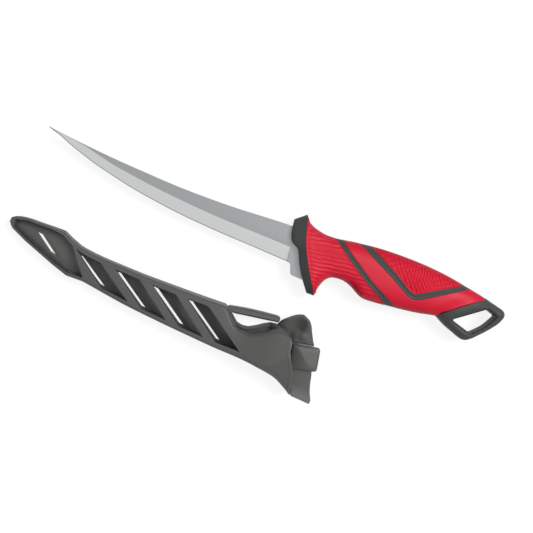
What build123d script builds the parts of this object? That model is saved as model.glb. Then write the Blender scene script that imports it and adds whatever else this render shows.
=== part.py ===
from build123d import *
import math
import os

# Fillet knife with a rubber grip, lying beside its open-sided belt sheath. Millimetres.
# +X runs from the blade's tip to the pommel, +Y from the cutting edge to the back of the blade,
# +Z up from the surface that both lie on. The origin is the middle of the pair's footprint.

# Blade
blade_length = 152.4
blade_height = 20.0
blade_thickness = 2.0
edge_thickness = 0.3
tang_length = 95.0
tang_height = 20.0

# Handle
handle_length = 135.4
handle_height = 43.6
handle_thickness = 22.0
rubber_thickness = 2.0
guard_reach = 18.0
guard_front_thickness = 15.0

# Sheath
sheath_length = 207.5
sheath_depth = 50.0
sheath_thickness = 27.0
sheath_wall = 2.2
slit_width = 3.4

# Belt clip and thumb latch
clip_low = 2.5
clip_height = 10.0
clip_knuckle_radius = 2.1
clip_clearance = 0.4
latch_clearance = 0.5
latch_underside = 2.0
latch_top = 5.2
latch_tongue = 1.9
latch_lift = 0.2
latch_ramp = 5.0
latch_round = 1.0

# Where the sheath's datum lies from the knife's datum
sheath_behind = 152.7
sheath_below = 62.65

# A cut runs this far past what it cuts
overrun = 4.0

# Curve of the handle's cross-section: 2 is an ellipse, more is squarer
section_power = 2.6
section_points = 8

# Blade stations: along, back, grind line and edge as shares of the blade's length and height,
# and the thickness as a share of the blade's thickness
blade_station_shares = (
    (-1.000, 0.255, 0.250, 0.236, 0.40),
    (-0.966, 0.235, 0.228, 0.170, 0.50),
    (-0.913, 0.220, 0.205, 0.055, 0.58),
    (-0.848, 0.203, 0.150, -0.075, 0.66),
    (-0.782, 0.190, 0.070, -0.190, 0.74),
    (-0.684, 0.188, -0.010, -0.315, 0.82),
    (-0.552, 0.198, -0.080, -0.430, 0.90),
    (-0.421, 0.230, -0.108, -0.490, 0.95),
    (-0.257, 0.320, -0.110, -0.505, 1.0),
    (-0.093, 0.470, -0.065, -0.475, 1.0),
    (0.031, 0.570, -0.030, -0.455, 1.0),
)

# Heel and tang outline, as shares of the tang's length and height
tang_shares = (
    (0.042, 0.570), (0.320, 0.500), (1.000, 0.430), (1.040, 0.360), (1.040, 0.240), (0.970, 0.170),
    (0.420, -0.050), (0.300, -0.200), (0.240, -0.640), (0.198, -0.760), (0.133, -0.760),
    (0.087, -0.465), (0.065, -0.452), (0.042, -0.455),
)

# Handle stations: top point, bottom point (shares of handle length and height) and thickness share
handle_station_shares = (
    (0.055, 0.454, 0.215, -0.477, 0.982),
    (0.098, 0.362, 0.222, -0.298, 0.945),
    (0.154, 0.335, 0.246, -0.170, 0.91),
    (0.242, 0.376, 0.309, -0.133, 0.91),
    (0.360, 0.452, 0.408, -0.239, 0.964),
    (0.493, 0.500, 0.523, -0.193, 1.0),
    (0.634, 0.518, 0.626, -0.131, 1.0),
    (0.767, 0.493, 0.685, -0.083, 0.99),
    (0.896, 0.447, 0.731, -0.046, 0.964),
)
pommel_station_shares = (
    (0.948, 0.420, 0.818, -0.138, 0.93),
    (1.010, 0.385, 0.900, -0.206, 0.87),
)

# Plan outlines on the handle, as shares of its length and height
guard_shares = (
    (0.002, 0.349), (0.022, 0.115), (0.035, 0.050), (0.066, 0.011), (0.102, -0.172),
    (0.139, -0.333), (0.182, -0.486), (0.222, -0.482), (0.300, 0.000), (0.100, 0.520), (0.048, 0.463),
)
pommel_shares = (
    (0.730, -0.053), (0.781, -0.103), (0.833, -0.149), (0.870, -0.181), (0.885, -0.179),
    (0.907, -0.138), (0.929, -0.057), (0.966, 0.092), (0.992, 0.229), (1.000, 0.333),
    (0.992, 0.388), (0.914, 0.436), (0.890, 0.520), (0.600, 0.520), (0.600, -0.053),
)
lanyard_shares = ((0.809, 0.000), (0.920, 0.303), (0.954, 0.282), (0.887, -0.050))
first_band_shares = (
    (0.168, 0.413), (0.264, 0.218), (0.412, -0.034), (0.552, -0.287),
    (0.597, -0.264), (0.449, 0.000), (0.301, 0.252), (0.202, 0.447),
)
second_band_shares = (
    (0.272, 0.470), (0.449, 0.195), (0.597, 0.028), (0.619, 0.023), (0.671, 0.115), (0.781, 0.356),
    (0.855, 0.562), (0.815, 0.562), (0.671, 0.211), (0.619, 0.106), (0.597, 0.106), (0.449, 0.321),
    (0.323, 0.516),
)

# Sheath outlines, as shares of its length and depth, from its tip to its mouth
tip_back_shares = ((0.000, 0.158), (0.026, 0.244), (0.081, 0.272), (0.155, 0.298))
rail_back_shares = (
    (0.155, 0.298), (0.179, 0.252), (0.228, 0.206), (0.301, 0.202), (0.399, 0.216),
    (0.496, 0.244), (0.594, 0.276), (0.672, 0.306),
)
belt_notch_shares = (
    (0.688, 0.212), (0.711, 0.146), (0.749, 0.164), (0.769, 0.220), (0.792, 0.292), (0.818, 0.336),
)
mouth_shares = (
    (0.818, 0.336), (0.852, 0.332), (0.873, 0.252), (0.878, 0.150), (0.886, 0.088),
    (0.901, -0.058), (0.912, -0.160), (0.925, -0.276), (0.930, -0.330),
)
collar_edge_shares = ((0.930, -0.330), (0.903, -0.270), (0.869, -0.216), (0.842, -0.200))
rail_edge_shares = (
    (0.496, -0.200), (0.399, -0.192), (0.325, -0.172), (0.252, -0.152), (0.200, -0.170),
)
tip_edge_shares = ((0.200, -0.170), (0.155, -0.108), (0.106, -0.046), (0.057, 0.028), (0.009, 0.098))
pocket_shares = (
    (0.060, 0.225), (0.150, 0.255), (0.180, 0.212), (0.228, 0.170), (0.301, 0.166), (0.399, 0.180),
    (0.496, 0.208), (0.594, 0.240), (0.664, 0.264), (0.692, 0.264), (0.755, 0.228), (0.800, 0.252),
    (0.860, 0.285), (1.050, 0.285), (1.050, -0.400), (0.940, -0.302), (0.905, -0.232),
    (0.869, -0.178), (0.842, -0.164), (0.496, -0.164), (0.399, -0.156), (0.325, -0.136),
    (0.252, -0.116), (0.200, -0.130), (0.155, -0.070), (0.106, -0.008), (0.060, 0.060),
)
tray_shares = (
    (0.800, -0.190), (0.842, -0.200), (0.869, -0.216), (0.903, -0.270), (0.930, -0.330),
    (0.944, -0.396), (0.995, -0.392), (1.000, -0.366), (0.989, -0.284), (0.960, -0.030),
    (0.937, 0.274), (0.933, 0.296), (0.919, 0.424), (0.895, 0.558), (0.873, 0.584), (0.851, 0.524),
    (0.826, 0.412), (0.818, 0.336), (0.800, 0.250),
)
latch_bay_shares = (
    (0.870, -0.100), (0.912, -0.100), (0.962, -0.030), (1.060, 0.000), (1.060, 0.400),
    (0.937, 0.278), (0.870, 0.244),
)

# Height of the front wall and of the seam, as shares of the sheath's length and thickness
front_height_shares = (
    (0.000, 0.296), (0.200, 0.389), (0.640, 0.622), (0.735, 0.685), (0.785, 0.800), (0.825, 0.926),
    (0.870, 1.000), (1.000, 1.000),
)
seam_height_shares = ((-0.100, 0.140), (0.640, 0.300), (1.100, 0.530))

# The tray's cross-section, as shares of the sheath's depth and thickness: it curls up on both sides
tray_under_shares = (
    (-0.420, 0.150), (-0.360, 0.060), (-0.300, 0.010), (-0.250, 0.000), (0.250, 0.000),
    (0.320, 0.015), (0.390, 0.060), (0.450, 0.120), (0.500, 0.190), (0.550, 0.290), (0.600, 0.430),
)

# Leaning windows of the front wall: along at the top, top, width at the top, along at the bottom,
# bottom and width at the bottom
window_shares = (
    (0.097, 0.170, 0.035, 0.144, 0.060, 0.060),
    (0.223, 0.148, 0.067, 0.333, -0.126, 0.074),
    (0.342, 0.152, 0.067, 0.446, -0.144, 0.081),
    (0.4535, 0.170, 0.067, 0.563, -0.146, 0.079),
    (0.5595, 0.200, 0.062, 0.676, -0.134, 0.076),
)
# Leaning slits of the back wall: along and height at the top, then at the bottom
slit_shares = (
    (0.079, 0.126, 0.127, 0.016),
    (0.209, 0.104, 0.303, -0.116),
    (0.331, 0.108, 0.438, -0.150),
    (0.446, 0.126, 0.558, -0.150),
    (0.555, 0.154, 0.674, -0.138),
)

# Belt clip outline and its knuckle, and the latch's outlines, as shares of sheath length and depth
clip_shares = (
    (0.672, 0.312), (0.691, 0.330), (0.740, 0.372), (0.788, 0.426), (0.802, 0.436), (0.814, 0.428),
    (0.819, 0.394), (0.813, 0.358), (0.797, 0.330), (0.764, 0.296), (0.716, 0.254), (0.684, 0.230),
)
knuckle_share = (0.677, 0.270)
pad_shares = (
    (0.884, 0.190), (0.901, 0.216), (0.956, 0.270), (0.963, 0.242), (0.979, 0.036),
    (0.972, 0.002), (0.959, -0.010), (0.910, -0.082),
)
tongue_low_share = -0.078
tongue_high_share = 0.218


def places(shares, length, height):
    """The points that a table of shares gives on a length and a height."""
    return [(along * length, up * height) for along, up in shares]


def prism(points, low, high):
    """A plan outline carried from one height to another."""
    outline = make_face(Polyline(*points, close=True))
    return Pos(0, 0, low) * extrude(outline, amount=high - low)


def across(points, low, high):
    """An outline in X and Z carried from one Y to another."""
    plane = Plane(origin=(0, high, 0), x_dir=(1, 0, 0), z_dir=(0, -1, 0))
    return extrude(plane * make_face(Polyline(*points, close=True)), amount=high - low)


def blade_section(station):
    """One cross-section of the blade: flat sides down to the grind line, then a bevel to the edge."""
    along, back, grind, edge, thick = station
    side = thick * blade_thickness / 2
    cutting = edge_thickness / 2
    plane = Plane(origin=(along * blade_length, 0, 0), x_dir=(0, 1, 0), z_dir=(1, 0, 0))
    points = (
        (back * blade_height, -side), (back * blade_height, side), (grind * blade_height, side),
        (edge * blade_height, cutting), (edge * blade_height, -cutting), (grind * blade_height, -side),
    )
    return plane * make_face(Polyline(*points, close=True))


def tang_plate():
    """Heel and tang: one flat plate of the blade's thickness."""
    outline = make_face(Polyline(*places(tang_shares, tang_length, tang_height), close=True))
    return extrude(outline, amount=blade_thickness / 2, both=True)


def make_blade():
    """The steel: the ground blade fused to its heel and tang."""
    ground = loft([blade_section(station) for station in blade_station_shares], ruled=True)
    return ground + tang_plate()


def handle_section(station, skin=0.0, forward=0.0, thickness=handle_thickness):
    """A rounded cross-section of the handle between its top and bottom points, drawn in by skin."""
    top_along, top_up, low_along, low_up, thick = station
    top = Vector(top_along * handle_length, top_up * handle_height, 0)
    low = Vector(low_along * handle_length, low_up * handle_height, 0)
    rise = (top - low).normalized()
    ahead = Vector(rise.Y, -rise.X, 0)
    middle = (top + low) / 2 - ahead * forward
    half_height = (top - low).length / 2 - skin
    half_width = thick * thickness / 2 - skin
    side = []
    for step in range(1, section_points):
        angle = math.pi * step / section_points
        up = math.copysign(abs(math.cos(angle)) ** (2 / section_power), math.cos(angle))
        out = math.sin(angle) ** (2 / section_power)
        side.append((half_height * up, half_width * out))
    side = [(half_height, 0)] + side + [(-half_height, 0)]
    other_side = [(up, -out) for up, out in reversed(side)]
    rims = (
        Spline(*side, tangents=((0, 1), (0, -1))),
        Spline(*other_side, tangents=((0, -1), (0, 1))),
    )
    plane = Plane(origin=middle, x_dir=rise, z_dir=ahead)
    return plane * make_face(rims)


def handle_prism(shares):
    """A plan outline on the handle, carried through its whole thickness."""
    reach = handle_thickness / 2 + overrun
    return prism(places(shares, handle_length, handle_height), -reach, reach)


def make_handle(blade):
    """The black core and the three rubber grips moulded on it."""
    grip_space = loft([handle_section(station) for station in handle_station_shares])
    core_sections = [handle_section(station, rubber_thickness) for station in handle_station_shares]
    core_space = loft(core_sections, ruled=True)
    first = handle_station_shares[0]
    guard_front = handle_section(first, forward=guard_reach, thickness=guard_front_thickness)
    guard = loft([guard_front, handle_section(first)], ruled=True) & handle_prism(guard_shares)
    pommel_stations = (handle_station_shares[-1],) + pommel_station_shares
    pommel = loft([handle_section(station) for station in pommel_stations], ruled=True)
    pommel = (pommel & handle_prism(pommel_shares)) - handle_prism(lanyard_shares)
    first_band = handle_prism(first_band_shares)
    second_band = handle_prism(second_band_shares)
    core = core_space + (grip_space & first_band) + (grip_space & second_band) + guard + pommel
    core = core - blade
    sleeve = grip_space - core_space - first_band - second_band
    grips = sleeve.solids().sort_by(Axis.X)
    middle_grip, rear_grip = grips[1:].sort_by(Axis.Y)
    return core, grips[0], middle_grip, rear_grip


def sheath_points(shares):
    """Plan points on the sheath."""
    return places(shares, sheath_length, sheath_depth)


def height_points(shares, drop=0.0):
    """Points in X and Z on the sheath, lowered by drop."""
    return [(along * sheath_length, up * sheath_thickness - drop) for along, up in shares]


def under_front_wall(drop, low):
    """All that lies between a height and the front wall's outer face, lowered by drop."""
    crest = height_points(front_height_shares, drop)
    first_along = crest[0][0] - overrun
    last_along = crest[-1][0] + overrun
    points = [(first_along, crest[0][1])] + crest + [(last_along, crest[-1][1])]
    points += [(last_along, low), (first_along, low)]
    return across(points, -sheath_depth, sheath_depth)


def sheath_outline():
    """The sheath's plan outline as one face: curves along the rails, corners at the tip and mouth."""
    back_corner = sheath_points(rail_back_shares[-1:])
    low_corner = sheath_points(collar_edge_shares[-1:])
    edges = [
        Spline(*sheath_points(tip_back_shares)),
        Spline(*sheath_points(rail_back_shares)),
        Polyline(*(back_corner + sheath_points(belt_notch_shares))),
        Polyline(*sheath_points(mouth_shares)),
        Polyline(*sheath_points(collar_edge_shares)),
        Polyline(*(low_corner + sheath_points(rail_edge_shares))),
        Spline(*sheath_points(tip_edge_shares)),
        Line(sheath_points(tip_edge_shares)[-1], sheath_points(tip_back_shares)[0]),
    ]
    return make_face(edges)


def seam_space():
    """All that lies below the seam between the two shells."""
    seam = height_points(seam_height_shares)
    points = seam + [(seam[-1][0], -overrun), (seam[0][0], -overrun)]
    return across(points, -sheath_depth, sheath_depth)


def front_windows():
    """The leaning windows of the front wall."""
    cuts = []
    for top_along, top, top_width, low_along, low, low_width in window_shares:
        shares = (
            (top_along, top), (top_along + top_width, top),
            (low_along + low_width, low), (low_along, low),
        )
        cuts.append(prism(sheath_points(shares), 0, sheath_thickness + overrun))
    return cuts


def back_slits():
    """The leaning slits of the back wall."""
    cuts = []
    for top_along, top, low_along, low in slit_shares:
        (top_x, top_y), (low_x, low_y) = sheath_points(((top_along, top), (low_along, low)))
        points = (
            (top_x, top_y), (top_x + slit_width, top_y), (low_x + slit_width, low_y), (low_x, low_y),
        )
        cuts.append(prism(points, -overrun, sheath_wall + overrun))
    return cuts


def tray():
    """The back wall's open end, curled up on both sides to hold the guard."""
    under = [(y * sheath_depth, z * sheath_thickness) for y, z in tray_under_shares]
    over = [(y, z + sheath_wall) for y, z in reversed(under)]
    plane = Plane(origin=(0, 0, 0), x_dir=(0, 1, 0), z_dir=(1, 0, 0))
    profile = plane * make_face(Polyline(*(under + over), close=True))
    sheet = extrude(profile, amount=sheath_length + overrun)
    return sheet & prism(sheath_points(tray_shares), -overrun, sheath_thickness)


def make_sheath():
    """The two shells of the sheath."""
    block = extrude(sheath_outline(), amount=sheath_thickness + overrun)
    body = block & under_front_wall(0.0, 0.0)
    pocket = prism(sheath_points(pocket_shares), 0, sheath_thickness)
    body = body - (pocket & under_front_wall(sheath_wall, sheath_wall))
    knuckle_x, knuckle_y = sheath_points((knuckle_share,))[0]
    socket = Pos(knuckle_x, knuckle_y, 0) * Cylinder(
        clip_knuckle_radius + clip_clearance, 2 * (sheath_thickness + overrun))
    body = body - socket
    back = body & seam_space()
    front = body - seam_space()
    for cut in front_windows():
        front = front - cut
    for cut in back_slits():
        back = back - cut
    bay = prism(sheath_points(latch_bay_shares), -overrun, sheath_wall + overrun)
    return front, (back + tray()) - bay


def make_clip():
    """The spring arm, with a round knuckle at its root."""
    knuckle_x, knuckle_y = sheath_points((knuckle_share,))[0]
    arm = extrude(make_face(Spline(*sheath_points(clip_shares), periodic=True)), amount=clip_height)
    knuckle = Cylinder(clip_knuckle_radius, clip_height, align=(Align.CENTER, Align.CENTER, Align.MIN))
    return Pos(0, 0, clip_low) * (arm + Pos(knuckle_x, knuckle_y, 0) * knuckle)


def make_latch():
    """The spring tongue, rising from its root to the thick pad."""
    pad = prism(sheath_points(pad_shares), latch_underside, latch_top)
    pad = fillet(pad.faces().sort_by(Axis.Z)[-1].edges(), latch_round)
    root = latch_bay_shares[0][0] * sheath_length + latch_clearance
    ramp_end = root + latch_ramp
    tongue_end = ramp_end + latch_ramp
    points = (
        (root, latch_lift), (root, latch_lift + latch_tongue), (ramp_end, latch_underside + latch_tongue),
        (tongue_end, latch_underside + latch_tongue), (tongue_end, latch_underside),
        (ramp_end, latch_underside),
    )
    return pad + across(points, tongue_low_share * sheath_depth, tongue_high_share * sheath_depth)


def main():
    """Builds each piece, sets the pair down on the origin and writes one file for each piece."""
    blade = make_blade()
    core, front_grip, middle_grip, rear_grip = make_handle(blade)
    front, back = make_sheath()
    knife_place = Pos(0, 0, handle_thickness / 2)
    sheath_place = Pos(-sheath_behind, -sheath_below, 0)
    pieces = {
        "blade": knife_place * blade,
        "handle_core": knife_place * core,
        "front_grip": knife_place * front_grip,
        "middle_grip": knife_place * middle_grip,
        "rear_grip": knife_place * rear_grip,
        "sheath_front": sheath_place * front,
        "sheath_back": sheath_place * back,
        "belt_clip": sheath_place * make_clip(),
        "thumb_latch": sheath_place * make_latch(),
    }
    box = Compound(children=[Compound(piece.solids()) for piece in pieces.values()]).bounding_box()
    middle = Pos(-(box.min.X + box.max.X) / 2, -(box.min.Y + box.max.Y) / 2, -box.min.Z)
    os.makedirs("parts", exist_ok=True)
    for name, piece in pieces.items():
        export_step(middle * Compound(piece.solids()), "parts/" + name + ".step")
    print("knife datum", middle.position.X, middle.position.Y, middle.position.Z + handle_thickness / 2)
    print("sheath datum", middle.position.X - sheath_behind, middle.position.Y - sheath_below)
    print("size", box.size.X, box.size.Y, box.size.Z)


main()
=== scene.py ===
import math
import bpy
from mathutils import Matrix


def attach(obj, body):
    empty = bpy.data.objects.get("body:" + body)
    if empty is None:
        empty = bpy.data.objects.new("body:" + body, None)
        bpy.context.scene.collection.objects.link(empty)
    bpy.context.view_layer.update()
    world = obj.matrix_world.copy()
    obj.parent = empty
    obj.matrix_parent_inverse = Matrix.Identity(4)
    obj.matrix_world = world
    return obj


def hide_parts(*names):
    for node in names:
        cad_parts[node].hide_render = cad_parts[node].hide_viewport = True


bl_info = {
    "name": "Fillet Knife and Sheath",
    "version": (1, 0, 0),
    "blender": (4, 5, 0),
    "location": "3D View > Sidebar > Fillet Knife",
    "description": "Builds a fillet knife with a ribbed rubber grip and its windowed belt sheath",
    "category": "Object",
}

import bpy
import numpy as np
from mathutils import Matrix, Vector

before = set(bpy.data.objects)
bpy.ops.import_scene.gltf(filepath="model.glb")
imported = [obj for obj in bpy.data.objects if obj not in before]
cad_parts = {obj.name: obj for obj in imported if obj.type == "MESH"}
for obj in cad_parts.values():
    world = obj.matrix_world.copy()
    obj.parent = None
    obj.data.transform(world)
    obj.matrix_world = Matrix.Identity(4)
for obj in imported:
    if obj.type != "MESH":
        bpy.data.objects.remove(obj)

MM = 0.001
WHITE = (1, 1, 1, 1)
# Where the tables of the knife and of the sheath start in the frame. All sizes below are in mm
KNIFE_PLACE = (8.65, 29.9218, 11.047)
SHEATH_PLACE = (-144.03, -32.728, 0.015)
# Distance in metres at which points are joined, and angle in degrees past which an edge is rounded
JOIN_DISTANCE = 1e-7
SOFT_ANGLE = 40.0
# Points whose gaps are worked out at one time, and steps for looking up a seam on the handle
BATCH = 3000
SEAM_SEARCH_STEPS = 2401
# Power of the superellipse of the handle's section, and its height to its width
SECTION_POWER = 2.6
SECTION_ASPECT = 1.15

# Handle stations in mm: top point, bottom point and half width, from the guard to the pommel
HANDLE_STATIONS = np.array([
    (3.5, 20.5, 25.5, -21.2, 10.7), (5.6, 20.3, 27.4, -21.1, 10.75), (7.5, 19.5, 29.1, -20.8, 10.8),
    (8.9, 17.8, 29.3, -18.0, 10.7), (11.0, 16.5, 29.6, -15.0, 10.55), (14.0, 15.5, 30.5, -11.5, 10.35),
    (17.5, 14.9, 31.8, -9.0, 10.1), (21.5, 14.6, 34.0, -7.0, 10.0), (27.0, 15.2, 37.5, -6.0, 10.0),
    (33.0, 16.5, 41.8, -5.8, 10.0), (40.0, 18.1, 46.8, -7.1, 10.2), (48.7, 19.7, 54.5, -10.3, 10.6),
    (57.0, 20.9, 62.0, -9.9, 10.85), (66.8, 21.8, 70.8, -8.4, 10.95), (76.0, 22.35, 78.5, -7.0, 11.0),
    (85.8, 22.5, 84.8, -5.7, 11.0), (95.0, 22.2, 89.0, -4.7, 10.95), (104.0, 21.4, 93.2, -3.5, 10.9),
    (113.0, 20.4, 96.3, -2.6, 10.75), (121.3, 19.3, 99.0, -1.9, 10.6),
])
# Edges of the parts of the handle in plan: guard, bands and pommel
GUARD_REAR = ((5.4, 21.6), (6.3, 20.2), (7.2, 19.2), (7.7, 17.9), (8.0, 16.2), (8.8, 13.4), (9.9, 10.3),
              (11.1, 7.2), (13.3, 2.6), (15.8, -1.9), (18.7, -6.3), (21.6, -10.6), (24.6, -14.8),
              (28.6, -20.3), (30.1, -22.4))
FIRST_BAND_FRONT = ((22.5, 17.8), (25.0, 16.2), (27.1, 14.8), (29.5, 13.4), (31.5, 12.1), (37.0, 8.2),
                    (43.9, 4.2), (52.8, -0.8), (58.7, -3.7), (64.0, -6.1), (68.2, -8.1), (72.5, -10.8))
FIRST_BAND_REAR = ((27.5, 18.4), (31.1, 16.0), (34.6, 13.4), (40.1, 9.6), (45.7, 6.5), (50.7, 3.7),
                   (57.0, 0.3), (62.8, -2.1), (69.0, -4.8), (73.6, -7.1), (79.5, -10.2))
SECOND_BAND_OUTER = ((36.0, 20.6), (40.4, 18.4), (43.6, 16.9), (47.4, 15.2), (50.9, 13.6), (56.5, 11.2),
                     (62.4, 8.8), (69.0, 5.8), (75.5, 2.7), (78.5, 1.5), (80.8, 1.2), (83.3, 1.9),
                     (86.1, 3.6), (89.1, 5.8), (94.7, 10.1), (100.3, 14.3), (106.1, 18.4), (109.2, 20.6),
                     (113.0, 23.2))
SECOND_BAND_INNER = ((43.5, 20.8), (46.4, 19.5), (50.3, 17.8), (54.2, 16.3), (60.0, 13.6), (66.0, 10.9),
                     (70.1, 8.8), (75.4, 6.1), (78.9, 4.7), (80.9, 4.6), (83.0, 5.8), (87.6, 9.1),
                     (93.3, 13.1), (99.1, 17.0), (104.6, 20.6), (108.5, 23.4))
POMMEL_EDGE = ((122.2, 20.3), (121.0, 19.2), (114.0, 14.2), (107.9, 8.8), (103.0, 3.9), (100.9, 1.8),
               (99.4, 0.0), (98.8, -1.4), (98.3, -3.2))

GUARD_FRONT = ((0.3, 15.2), (1.4, 9.5), (3.0, 5.0), (4.8, 2.4), (7.3, 1.3), (9.0, 0.5), (10.8, -2.0),
               (13.8, -7.5), (18.8, -14.5), (24.6, -21.2))
GUARD_FRONT_AT = (0.0, 0.13, 0.25, 0.33, 0.4, 0.45, 0.53, 0.67, 0.84, 1.0)
POMMEL_OUTLINE = ((98.9, -2.0), (99.5, 0.0), (101.0, 1.8), (103.1, 3.9), (108.0, 8.8), (114.1, 14.2),
                  (121.3, 19.4), (123.8, 18.9), (129.5, 17.9), (133.6, 16.9), (135.0, 15.6), (135.3, 14.0),
                  (134.3, 10.0), (130.8, 4.0), (125.8, -2.5), (122.8, -6.0), (120.6, -7.7), (118.4, -8.3),
                  (116.0, -7.9), (112.5, -6.9), (105.6, -4.9))
LANYARD_OUTLINE = ((107.3, 0.1), (123.5, 13.95), (130.6, 12.1), (126.7, 4.0), (121.1, -2.9))
# Power of the guard's own superellipse, and how far its top corner is moved along and up
GUARD_POWER = 8
GUARD_TOP_LIFT = (-0.3, 0.7)
# Pommel: rounding and half thickness, each at the seam and at the free end, with the run between them
POMMEL_ROUND = (13.2, 6.0, 9)
POMMEL_HALF = (10.6, 7.0, 10)
# Radius and depth of the rounding of the lanyard opening, and the least half thickness at its wall
OPENING_RIM = (3.0, 2.6)
POMMEL_THINNEST = 0.02
# Depth of the dip before the pommel, and how far it reaches
POMMEL_DIP = 0.9
POMMEL_DIP_LENGTH = 7.0
# Station at which the core starts, and how far it reaches into the rubber
CORE_START = 1.4
CORE_OVERLAP = 0.15
# Half width of a band's groove, as a share of the band
GROOVE_SHARE = 0.16
# Ribs: where their slant starts, how steep it is, how it bends, and its slow waves, each as its height, its
# turn per mm along and up, and its start
RIB_START = 10.0
RIB_SLANT = 0.28
RIB_BEND = 0.0012
RIB_WAVES = ((0.13, 0.6, 0.35, 0.0), (0.10, 1.1, -0.6, 1.0))
# Diamonds: the point they are counted from, the direction of each family of ridges with its share of the
# pitch, and a power that narrows the ridges
SCALE_START = (82.0, 12.0)
FIRST_RIDGE = (0.70, 0.71, 1.14)
SECOND_RIDGE = (0.99, 0.10, 1.0)
RIDGE_POWER = 0.7

# Blade in plan: along, back, grind line, edge and thickness share
BLADE_STATIONS = np.array([
    (-152.4, 5.10, 5.00, 4.72, 0.30), (-149.2, 4.85, 4.60, 3.95, 0.42), (-144.2, 4.55, 4.35, 2.80, 0.50),
    (-139.2, 4.35, 4.15, 1.10, 0.56), (-129.2, 4.05, 3.35, -1.50, 0.62), (-119.2, 3.80, 1.75, -3.80, 0.70),
    (-109.2, 3.70, 0.25, -5.50, 0.76), (-99.2, 3.75, -0.60, -7.00, 0.82),
    (-89.2, 3.90, -1.35, -8.20, 0.87), (-79.2, 4.05, -1.80, -8.95, 0.90),
    (-69.2, 4.35, -2.10, -9.60, 0.93), (-59.2, 4.90, -2.25, -10.0, 0.95),
    (-49.2, 5.60, -2.30, -10.1, 0.97), (-39.2, 6.45, -2.20, -10.1, 0.98),
    (-29.2, 7.50, -1.90, -9.90, 0.99), (-19.2, 8.75, -1.50, -9.60, 1.0), (-9.2, 10.0, -1.10, -9.40, 1.0),
    (0.8, 11.0, -0.80, -9.20, 1.0), (5.4, 11.4, -0.60, -9.05, 1.0), (12.0, 11.9, -0.40, -8.90, 1.0),
])
HEEL_LINE = ((5.4, -9.05), (8.3, -9.3), (9.3, -10.3), (10.4, -13.0), (11.4, -14.9), (12.6, -15.3),
             (21.0, -15.2))
# Length from the tip to the guard, and where the closer stations of the heel take over
BLADE_LENGTH = 152.4
GROUND_END = 3.0
# Where the bevel starts to fill out to the heel's full thickness, and over what run
HEEL_START = 3.6
HEEL_RUN = 1.8
# How far the end of the bevel leans, where the lean comes in and goes out again, and the rows with a bevel
GROUND_LEAN = 1.4
LEAN_IN = (-6.0, 3.6)
LEAN_OUT = (5.4, 9.4)
GROUND_ROWS = 171
# Chamfer at the back of the blade, and at the heel's edge
BACK_CHAMFER = 0.2
HEEL_CHAMFER = 0.12
# Fine bevel at the edge: its width, and half the thickness where it starts and at the edge
FINE_BEVEL = 0.55
FINE_BEVEL_HALF = 0.26
EDGE_HALF = 0.05

# Sheath in plan, from its tip to its mouth: along and up
RAIL_LINE = ((0.05, 8.3), (0.7, 9.9), (2.2, 11.2), (5.4, 12.3), (9.0, 13.0), (16.8, 13.7), (25.0, 14.5),
             (31.2, 15.0), (33.6, 14.5), (37.0, 12.9), (42.0, 11.2), (47.3, 10.4), (54.0, 10.1),
             (62.5, 10.1), (72.0, 10.4), (82.8, 10.8), (102.9, 12.2), (123.3, 13.8), (131.0, 14.5),
             (136.0, 15.0), (137.8, 15.1))
BACK_NOTCH_LINE = ((138.6, 15.0), (140.0, 13.9), (142.4, 11.7), (145.0, 9.6), (147.4, 7.9), (150.5, 7.4),
                   (153.0, 7.7), (155.8, 8.8), (159.8, 11.8), (164.3, 15.2), (167.6, 16.6), (172.0, 16.7),
                   (176.8, 16.6), (190.0, 16.6))
FRONT_NOTCH_LINE = ((138.6, 15.0), (139.8, 13.8), (142.6, 11.0), (145.4, 8.4), (147.8, 6.6), (150.5, 6.0),
                    (156.4, 6.1), (160.8, 8.2), (165.1, 11.6), (168.8, 14.7), (171.8, 16.3), (176.8, 16.6),
                    (190.0, 16.6))
LOW_LINE = ((0.05, 7.6), (0.7, 5.8), (2.0, 4.5), (5.0, 2.8), (11.8, 0.7), (22.0, -2.3), (32.2, -5.4),
            (38.5, -7.7), (41.5, -8.55), (47.0, -8.1), (52.3, -7.6), (60.0, -8.0), (67.4, -8.6),
            (82.8, -9.6), (102.9, -10.0), (140.0, -10.0), (174.7, -10.0), (180.3, -11.1), (187.4, -14.4),
            (193.0, -17.6))
MOUTH_LINE = ((-16.5, 193.0), (-13.8, 191.9), (-8.0, 189.2), (-2.9, 186.9), (4.4, 183.8), (7.5, 182.2),
              (11.5, 181.5), (14.0, 180.4), (15.6, 178.6), (16.6, 176.6))
WINDOW_TOP_LINE = ((0.0, 8.0), (2.4, 9.4), (5.4, 10.9), (9.0, 11.7), (16.8, 12.4), (25.0, 13.2),
                   (30.5, 13.6), (34.0, 12.6), (38.0, 10.9), (42.0, 9.3), (46.3, 8.2), (52.0, 7.5),
                   (60.1, 7.3), (70.9, 7.6), (94.1, 8.5), (116.1, 9.9), (128.6, 10.9), (134.0, 10.3),
                   (140.0, 7.6), (146.0, 4.6), (152.0, 3.2), (160.0, 4.0), (170.0, 6.0), (190.0, 6.0))
WINDOW_LOW_LINE = ((0.0, 7.4), (3.0, 5.6), (6.5, 3.8), (12.0, 2.1), (22.0, -0.9), (32.0, -4.0),
                   (40.0, -6.6), (47.0, -6.4), (52.0, -5.9), (60.0, -5.9), (69.0, -6.2), (84.4, -7.0),
                   (92.5, -7.2), (116.8, -7.2), (140.3, -6.7), (150.0, -6.0), (165.0, -4.6), (182.0, -3.0),
                   (190.0, -2.6))
# Windows of the front wall: along at the top left and right, then at the bottom left and right
WINDOWS = ((2.6, 40.5, 3.4, 54.0), (43.3, 60.1, 66.4, 84.4), (69.8, 84.9, 92.8, 109.4),
           (93.2, 108.1, 117.2, 133.1), (115.4, 128.6, 140.8, 156.0))
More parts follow.
